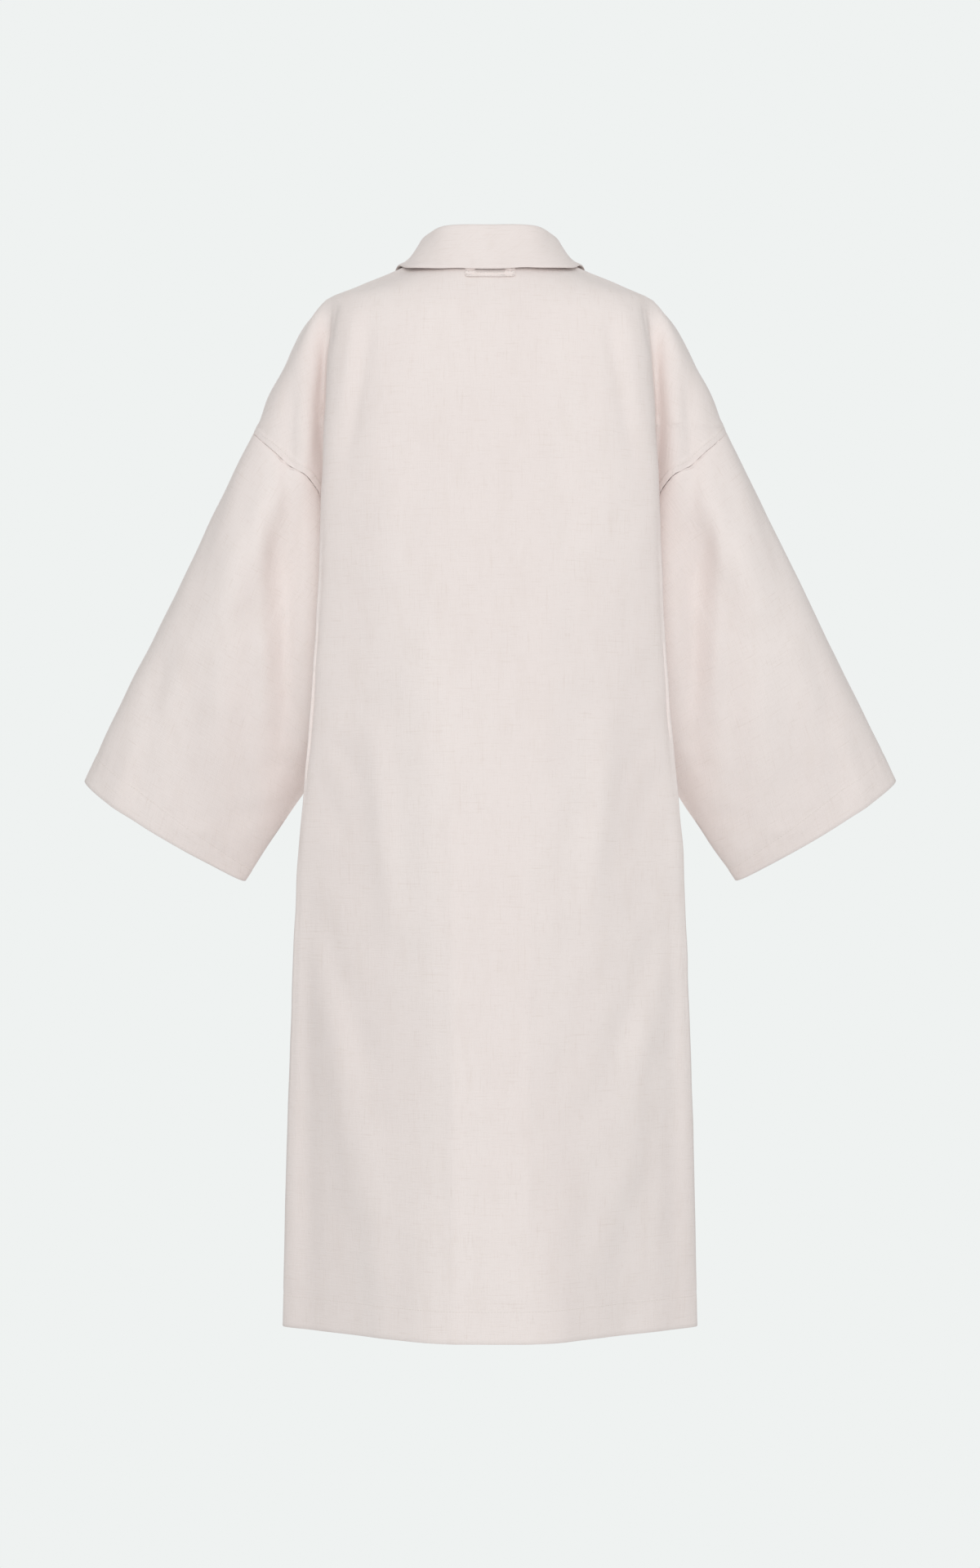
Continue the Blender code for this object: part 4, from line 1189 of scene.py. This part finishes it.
def armhole_line(grid, sign, column):
    """The stitched line beside the armhole seam in the last or the first column."""
    inner, ways = (-2 if column else 1), normals_of(grid, False, sign)
    edge, near, out = grid[ARMHOLE, column], grid[ARMHOLE, inner], ways[ARMHOLE, inner]
    aside = unit(np.cross(unit(np.gradient(edge, axis=0)), out))
    aside *= np.sign(np.sum(aside * (near - edge), axis=1))[:, None]
    spots = edge + aside * (BAND_WIDTH - STITCH_INSET)
    shown = (edge[:, 2] > SEAM_HIDES_Z) & (np.arange(len(edge)) > 2)
    points, ways = grid.reshape(-1, 3), ways.reshape(-1, 3)
    laid = []
    for spot in spots[shown]:
        height, way = over_cloth(spot, points, ways)
        laid.append(spot - way * height)
    return np.array(laid), out[shown]


def band_line(grid, x):
    """A line down the front band at one distance from the centre."""
    columns = [place_in(row[:PLACKET_COLUMNS, 0], x) for row in grid]
    return on_grid(grid, np.arange(len(grid)), columns, -1)


def collar_line(grid):
    """The stitched line just inside the collar's ends and its lower edge."""
    last, columns = len(grid) - 1, grid.shape[1]
    from_edge = [place_in(runs, COLLAR_STITCH_INSET) for runs in row_runs(grid[:, ::-1])]
    lower = columns - 1 - np.array(from_edge)
    inset = place_in(run_lengths(grid[:, -1]), COLLAR_STITCH_INSET)
    end = np.arange(columns // 2, int(lower[0]))
    return [on_grid(grid, inset, end, 1),
            on_grid(grid, np.arange(1, last), lower[1:-1], 1),
            on_grid(grid, last - inset, end, 1)]


def rounded_u(half_width, bottom_z, corner):
    """A U from the left top to the right top, with rounded lower corners."""
    centre_x, centre_z = half_width - corner, bottom_z + corner
    half = [(half_width, z) for z in np.linspace(LOOP_TOP_Z, centre_z, LOOP_STEPS["down"])[:-1]]
    half += [(centre_x + corner * math.cos(turn), centre_z - corner * math.sin(turn))
             for turn in np.linspace(0, math.pi / 2, LOOP_STEPS["bend"])]
    half += [(x, bottom_z) for x in np.linspace(centre_x, 0, LOOP_STEPS["across"])[1:]]
    half = np.array(half)
    return np.vstack((half, half[-2::-1] * (-1, 1)))


def add_hanger_loop(grid, made):
    """The tape sewn in under the collar: down, across and up again, in one flat ribbon."""
    outer = rounded_u(LOOP_HALF_WIDTH, LOOP_BOTTOM_Z, LOOP_CORNER)
    inner_width = LOOP_HALF_WIDTH - LOOP_END_WIDTH
    inner = rounded_u(inner_width, LOOP_BOTTOM_Z + LOOP_BAND, LOOP_CORNER / 2)
    shares = np.linspace(0, 1, LOOP_COLUMNS)[:, None]
    flat = outer[:, None] * (1 - shares) + inner[:, None] * shares
    full = np.sin(math.pi * shares[:, 0]) ** LOOP_FULLNESS
    swell = LOOP_LIFT + LOOP_CLOTH * (LOOP_EDGE + (1 - LOOP_EDGE) * full)
    points = grid.reshape(-1, 3)
    laid = np.empty(flat.shape[:2] + (3,))
    for place in np.ndindex(flat.shape[:2]):
        x, z = flat[place]
        near = np.argmin((points[:, 0] - x) ** 2 + (points[:, 2] - z) ** 2)
        laid[place] = (x, points[near, 1] + swell[place[1]], z)
    walls = np.full(len(laid), LOOP_CLOTH)
    return shell("hanger_loop_tape", laid, walls, made, [...], sign=-1), laid


def loop_lines(laid):
    """The tape's two rows of stitches, and the bar that holds each end."""
    out = np.tile((0.0, 1.0, 0.0), (len(laid), 1))
    lines = [(laid[:, column] + out * LOOP_STITCH_LIFT, out) for column in LOOP_STITCHED]
    across = slice(1, LOOP_COLUMNS - 1)
    out = out[across]
    return lines + [(laid[row, across] + out * LOOP_BAR_LIFT, out) for row in LOOP_BARS]


def button_mesh():
    """A turned button with a raised rim, lying flat round the origin."""
    mesh = bmesh.new()
    rings = []
    turns = np.arange(BUTTON_SIDES) * 2 * math.pi / BUTTON_SIDES
    for share, height in zip(*BUTTON_PROFILE.values()):
        radius, z = BUTTON_RADIUS * share * CM, BUTTON_THICK * height * CM
        around = turns if share else turns[:1]
        rings.append([mesh.verts.new((radius * math.cos(t), radius * math.sin(t), z))
                      for t in around])
    for low, high in zip(rings, rings[1:]):
        for k in range(BUTTON_SIDES):
            n = (k + 1) % BUTTON_SIDES
            corners = (low[k % len(low)], low[n % len(low)],
                       high[n % len(high)], high[k % len(high)])
            mesh.faces.new(list(dict.fromkeys(corners)))
    bmesh.ops.recalc_face_normals(mesh, faces=mesh.faces)
    return finished(mesh, "button")


def pierced(data):
    """The button's mesh with its four holes cut through."""
    holes = bmesh.new()
    radius, depth = HOLE_RADIUS * CM, BUTTON_THICK * 4 * CM
    for x, y in itertools.product((-HOLE_FROM_CENTRE, HOLE_FROM_CENTRE), repeat=2):
        drill = bmesh.ops.create_cone(holes, cap_ends=True, segments=HOLE_SIDES,
                                      radius1=radius, radius2=radius, depth=depth)
        bmesh.ops.translate(holes, verts=drill["verts"], vec=(x * CM, y * CM, 0))
    button, cutter = placed("blank", data), placed("drill", finished(holes, "drill"))
    button.modifiers.new("holes", "BOOLEAN").object = cutter
    bpy.context.view_layer.update()
    graph = bpy.context.evaluated_depsgraph_get()
    made = bpy.data.meshes.new_from_object(button.evaluated_get(graph))
    for thing in (button, cutter):
        bpy.data.objects.remove(thing)
    return made


def button_threads():
    """The paths and radii of a button's threads and of its worked buttonhole."""
    reach, foot = HOLE_FROM_CENTRE, THREAD_FOOT
    top = BUTTON_THICK * BUTTON_PROFILE["height"][-1] + BUTTON_LIFT + THREAD_OVER
    paths = []
    for hole, shift in itertools.product((-reach, reach), THREADS_IN_HOLE):
        x = hole + shift
        arch = [(x, -reach, foot), (x, -reach, top), (x, reach, top), (x, reach, foot)]
        paths.append((arch, BUTTON_THREAD))
    for side in (-1, 1):
        for y in np.arange(-BUTTONHOLE / 2, BUTTONHOLE / 2 + 0.01, BUTTONHOLE_STEP):
            bite = [(side * x, y, height) for x, height in BUTTONHOLE_BITE]
            paths.append((bite, BUTTONHOLE_THREAD))
    for end in (-1, 1):
        y = end * (BUTTONHOLE / 2 + BAR_PAST)
        paths.append(([(-BAR_HALF, y, BAR_HEIGHT), (BAR_HALF, y, BAR_HEIGHT)], BAR_THREAD))
    return paths


def add_button(number, pattern, grid, made, thread):
    """One button on the cloth, its threads, and the worked buttonhole under it."""
    z = BUTTON_TOP_Z - BUTTON_STEP * (number - 1)
    row = place_in(-grid[:, CENTRE_COLUMN, 2], -z)
    seat, out = (values[0] for values in on_grid(grid, [row], [CENTRE_COLUMN], -1))
    right, down = np.array((1.0, 0, 0)), unit(np.array((0, out[2], -out[1])))
    axes = np.array((right, down, np.cross(right, down)))
    mesh = bmesh.new()
    mesh.from_mesh(pattern)
    for vert in mesh.verts:
        vert.co = (seat + axes[2] * BUTTON_LIFT) * CM + np.array(vert.co) @ axes
    button = add_object(f"button_{number}_shell", mesh, made)
    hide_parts(f"button_{number}")
    tubes = [tube(seat + np.array(path) @ axes, radius) for path, radius in button_threads()]
    threads = add_object(f"button_{number}_thread", tubes_mesh(tubes), thread)
    return [button, threads]


def node(tree, kind, inputs, **settings):
    """Adds a node. Each input is a constant or another node's result."""
    made = tree.nodes.new("ShaderNode" + kind)
    for name, value in settings.items():
        setattr(made, name, value)
    for name, value in inputs.items():
        if isinstance(value, bpy.types.NodeSocket):
            tree.links.new(value, made.inputs[name])
        else:
            made.inputs[name].default_value = value
    return made


def noise(tree, source, scale, detail, spread=(1, 1, 1)):
    """Noise over a source of coordinates, stretched by its spread."""
    places = node(tree, "Mapping", {"Scale": spread, "Vector": source}).outputs["Vector"]
    inputs = {"Scale": scale, "Detail": detail, "Vector": places}
    return node(tree, "TexNoise", inputs).outputs["Fac"]


def ranged(tree, value, low, high, to_low=0.0, to_high=1.0):
    """A value's stretch from low to high, spread from to_low to to_high."""
    inputs = {"Value": value, "From Min": low, "From Max": high, "To Min": to_low, "To Max": to_high}
    return node(tree, "MapRange", inputs, interpolation_type="SMOOTHSTEP").outputs["Result"]


def tinted(tree, share, first, second):
    """A mix of two colours; each is a colour or another node's result."""
    inputs = {"Factor": share, 6: first, 7: second}
    return node(tree, "Mix", inputs, data_type="RGBA").outputs[2]


def summed(tree, *values):
    """The weighted sum of values, each given with its weight."""
    total = 0.0
    for value, weight in values:
        inputs = {0: value, 1: weight, 2: total}
        total = node(tree, "Math", inputs, operation="MULTIPLY_ADD").outputs[0]
    return total


def new_material(name):
    """A material with its node tree and its shader."""
    made = bpy.data.materials.new(name)
    made.use_nodes = True
    return made, made.node_tree, made.node_tree.nodes["Principled BSDF"]


def finish_shader(tree, shader, colour, rough, height, strength, distance):
    """Gives the shader its colour, its roughness and its small relief."""
    bump = node(tree, "Bump", {"Strength": strength, "Distance": distance, "Height": height})
    tree.links.new(colour, shader.inputs["Base Color"])
    tree.links.new(rough, shader.inputs["Roughness"])
    tree.links.new(bump.outputs["Normal"], shader.inputs["Normal"])


def linen_material(name, light, mid, deep):
    """Plain-weave linen: crossing threads with slubs, slightly uneven in colour, matte."""
    made, tree, shader = new_material(name)
    places = node(tree, "TexCoord", {}).outputs
    slubs = [noise(tree, places["UV"], 1, 2, spread) for spread in SLUBS]
    weave = [noise(tree, places["UV"], 1, 1, spread) for spread in WEAVE]
    hatch = [noise(tree, places["UV"], 1, 2, spread) for spread in HATCH]
    cloud = noise(tree, places["Object"], 9, 3, (1, 1, 0.25))
    blotch = noise(tree, places["Object"], 60, 2, (1, 1, 0.3))
    ground = tinted(tree, ranged(tree, cloud, 0.36, 0.66), mid, light)
    warmed = tinted(tree, ranged(tree, blotch, 0.45, 0.8, 0, 0.25), ground, deep)
    thick = summed(tree, *[(ranged(tree, slub, 0.5, 0.72), 0.5) for slub in slubs])
    thin = summed(tree, *[(ranged(tree, slub, 0.42, 0.26), 0.45) for slub in slubs],
                  *[(ranged(tree, line, 0.5, 0.3), 0.35) for line in hatch])
    raised = tinted(tree, ranged(tree, thick, 0, 1, 0, 0.55), warmed, light)
    colour = tinted(tree, ranged(tree, thin, 0, 1, 0, 0.7), raised, deep)
    rough = ranged(tree, cloud, 0.3, 0.7, 0.8, 0.92)
    height = summed(tree, *[(line, 0.8) for line in weave], (thick, 0.9))
    finish_shader(tree, shader, colour, rough, height, 0.4, 0.0004)
    shader.inputs["Specular IOR Level"].default_value = 0.25
    shader.inputs["Sheen Weight"].default_value = 0.12
    shader.inputs["Sheen Roughness"].default_value = 0.45
    return made


def thread_material():
    """Sewing thread: twisted, a little smoother than the cloth."""
    made, tree, shader = new_material("sewing_thread")
    twist = noise(tree, node(tree, "TexCoord", {}).outputs["Object"], 2600, 1)
    colour = tinted(tree, ranged(tree, twist, 0.35, 0.65), *THREAD_TONES)
    rough = ranged(tree, twist, 0.3, 0.7, 0.55, 0.75)
    finish_shader(tree, shader, colour, rough, twist, 0.3, 0.0001)
    shader.inputs["Sheen Weight"].default_value = 0.1
    return made


def button_material():
    """Shell-like cream, clouded in soft layers, with a satin gloss."""
    made, tree, shader = new_material("cream_shell")
    around = node(tree, "TexCoord", {}).outputs["Object"]
    cloud = noise(tree, around, 160, 3, (1, 1, 2.5))
    layer = noise(tree, around, 420, 2, (1, 3, 1))
    dark, pale, gleam = SHELL_TONES
    base = tinted(tree, ranged(tree, cloud, 0.35, 0.65), dark, pale)
    colour = tinted(tree, ranged(tree, layer, 0.45, 0.7, 0, 0.5), base, gleam)
    rough = ranged(tree, layer, 0.3, 0.7, 0.22, 0.4)
    finish_shader(tree, shader, colour, rough, layer, 0.1, 0.0002)
    shader.inputs["Coat Weight"].default_value = 0.3
    shader.inputs["Coat Roughness"].default_value = 0.2
    return made


def paper_strength(tree):
    """The strength of the pale ground: full as it is seen, and dimmer as a light."""
    seen = node(tree, "LightPath", {}).outputs["Is Camera Ray"]
    inputs = {"Value": seen, "To Min": AMBIENT, "To Max": 1.0}
    return node(tree, "MapRange", inputs).outputs["Result"]


def add_stage():
    """A plain pale floor, and the same pale tone all round."""
    world = bpy.data.worlds.new("studio")
    bpy.context.scene.world = world
    world.use_nodes = True
    tree = world.node_tree
    tree.nodes["Background"].inputs["Color"].default_value = BACKDROP
    tree.links.new(paper_strength(tree), tree.nodes["Background"].inputs["Strength"])
    made, tree, _ = new_material("paper")
    glow = node(tree, "Emission", {"Color": BACKDROP, "Strength": paper_strength(tree)})
    surface = tree.nodes["Material Output"].inputs["Surface"]
    tree.links.new(glow.outputs["Emission"], surface)
    mesh = bmesh.new()
    bmesh.ops.create_circle(mesh, cap_ends=True, segments=96, radius=FLOOR_RADIUS)
    floor = placed("floor", finished(mesh, "floor"))
    floor.location.z = FLOOR_Z
    floor.data.materials.append(made)


def add_lights():
    """Large soft lights behind the camera, and one for the other side."""
    for number, (x, y, z, size, power) in enumerate(zip(*LIGHTS.values())):
        data = bpy.data.lights.new(f"soft_{number}", "AREA")
        data.energy, data.size = power, size
        lamp = placed(f"soft_{number}", data)
        lamp.location = (x, y, z)
        lamp.rotation_euler = (AIM - lamp.location).to_track_quat("-Z", "Y").to_euler()


def add_camera():
    """Level with the middle of the shirt, behind the wearer's back."""
    data = bpy.data.cameras.new("camera")
    data.lens = data.sensor_width / 2 * CAMERA_DISTANCE / HALF_VIEW_HEIGHT
    camera = placed("camera", data)
    camera.location = (0, CAMERA_DISTANCE, CAMERA_Z)
    camera.rotation_euler = Vector((0, -1, 0)).to_track_quat("-Z", "Y").to_euler()
    bpy.context.scene.camera = camera


def declare():
    """Hides the solid of each sheet of cloth."""
    for name, (flat, area, rests_on) in CUTS.items():
        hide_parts(name)


def main():
    """Sets the stage, then dresses each solid in turn."""
    add_stage()
    add_lights()
    add_camera()
    bpy.context.scene.view_settings.view_transform = "Standard"
    linen, tape = linen_material("linen_cloth", *LINEN), linen_material("linen_tape", *TAPE)
    thread, shell_cream = thread_material(), button_material()
    form = left_half()
    pieces, outer, lines = {}, {}, {}
    pieces["back"], outer["back"] = add_back(form, linen)
    lines["back"] = [hem_line(outer["back"], 1), armhole_line(outer["back"], 1, -1),
                     armhole_line(outer["back"], 1, 0)]
    for hand, sign in HANDS.items():
        front, sleeve = "front_" + hand, "sleeve_" + hand
        pieces[front], outer[front] = add_front(form, linen, hand)
        pieces[sleeve], outer[sleeve] = add_sleeve(form, linen, hand)
        lines[front] = [hem_line(outer[front], -sign), armhole_line(outer[front], -sign, -1)]
        lines[sleeve] = [cuff_line(outer[sleeve], -sign)]
    lines["front_left"] += [band_line(outer["front_left"], x)
                            for x in (PLACKET_EDGE_X, PLACKET_INNER_X)]
    pieces["collar"], outer["collar"] = add_collar(form[0], linen)
    lines["collar"] = collar_line(outer["collar"])
    loop, laid = add_hanger_loop(outer["back"], tape)
    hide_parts("hanger_loop")
    trims = {name: [add_stitches(name + "_stitches", lines[name], thread)] for name in CUTS}
    trims["back"] += [loop, add_stitches("hanger_loop_stitches", loop_lines(laid), thread)]
    pattern = pierced(button_mesh())
    for number in range(1, BUTTON_COUNT + 1):
        trims["front_left"] += add_button(number, pattern, outer["front_left"], shell_cream, thread)
    declare()


main()
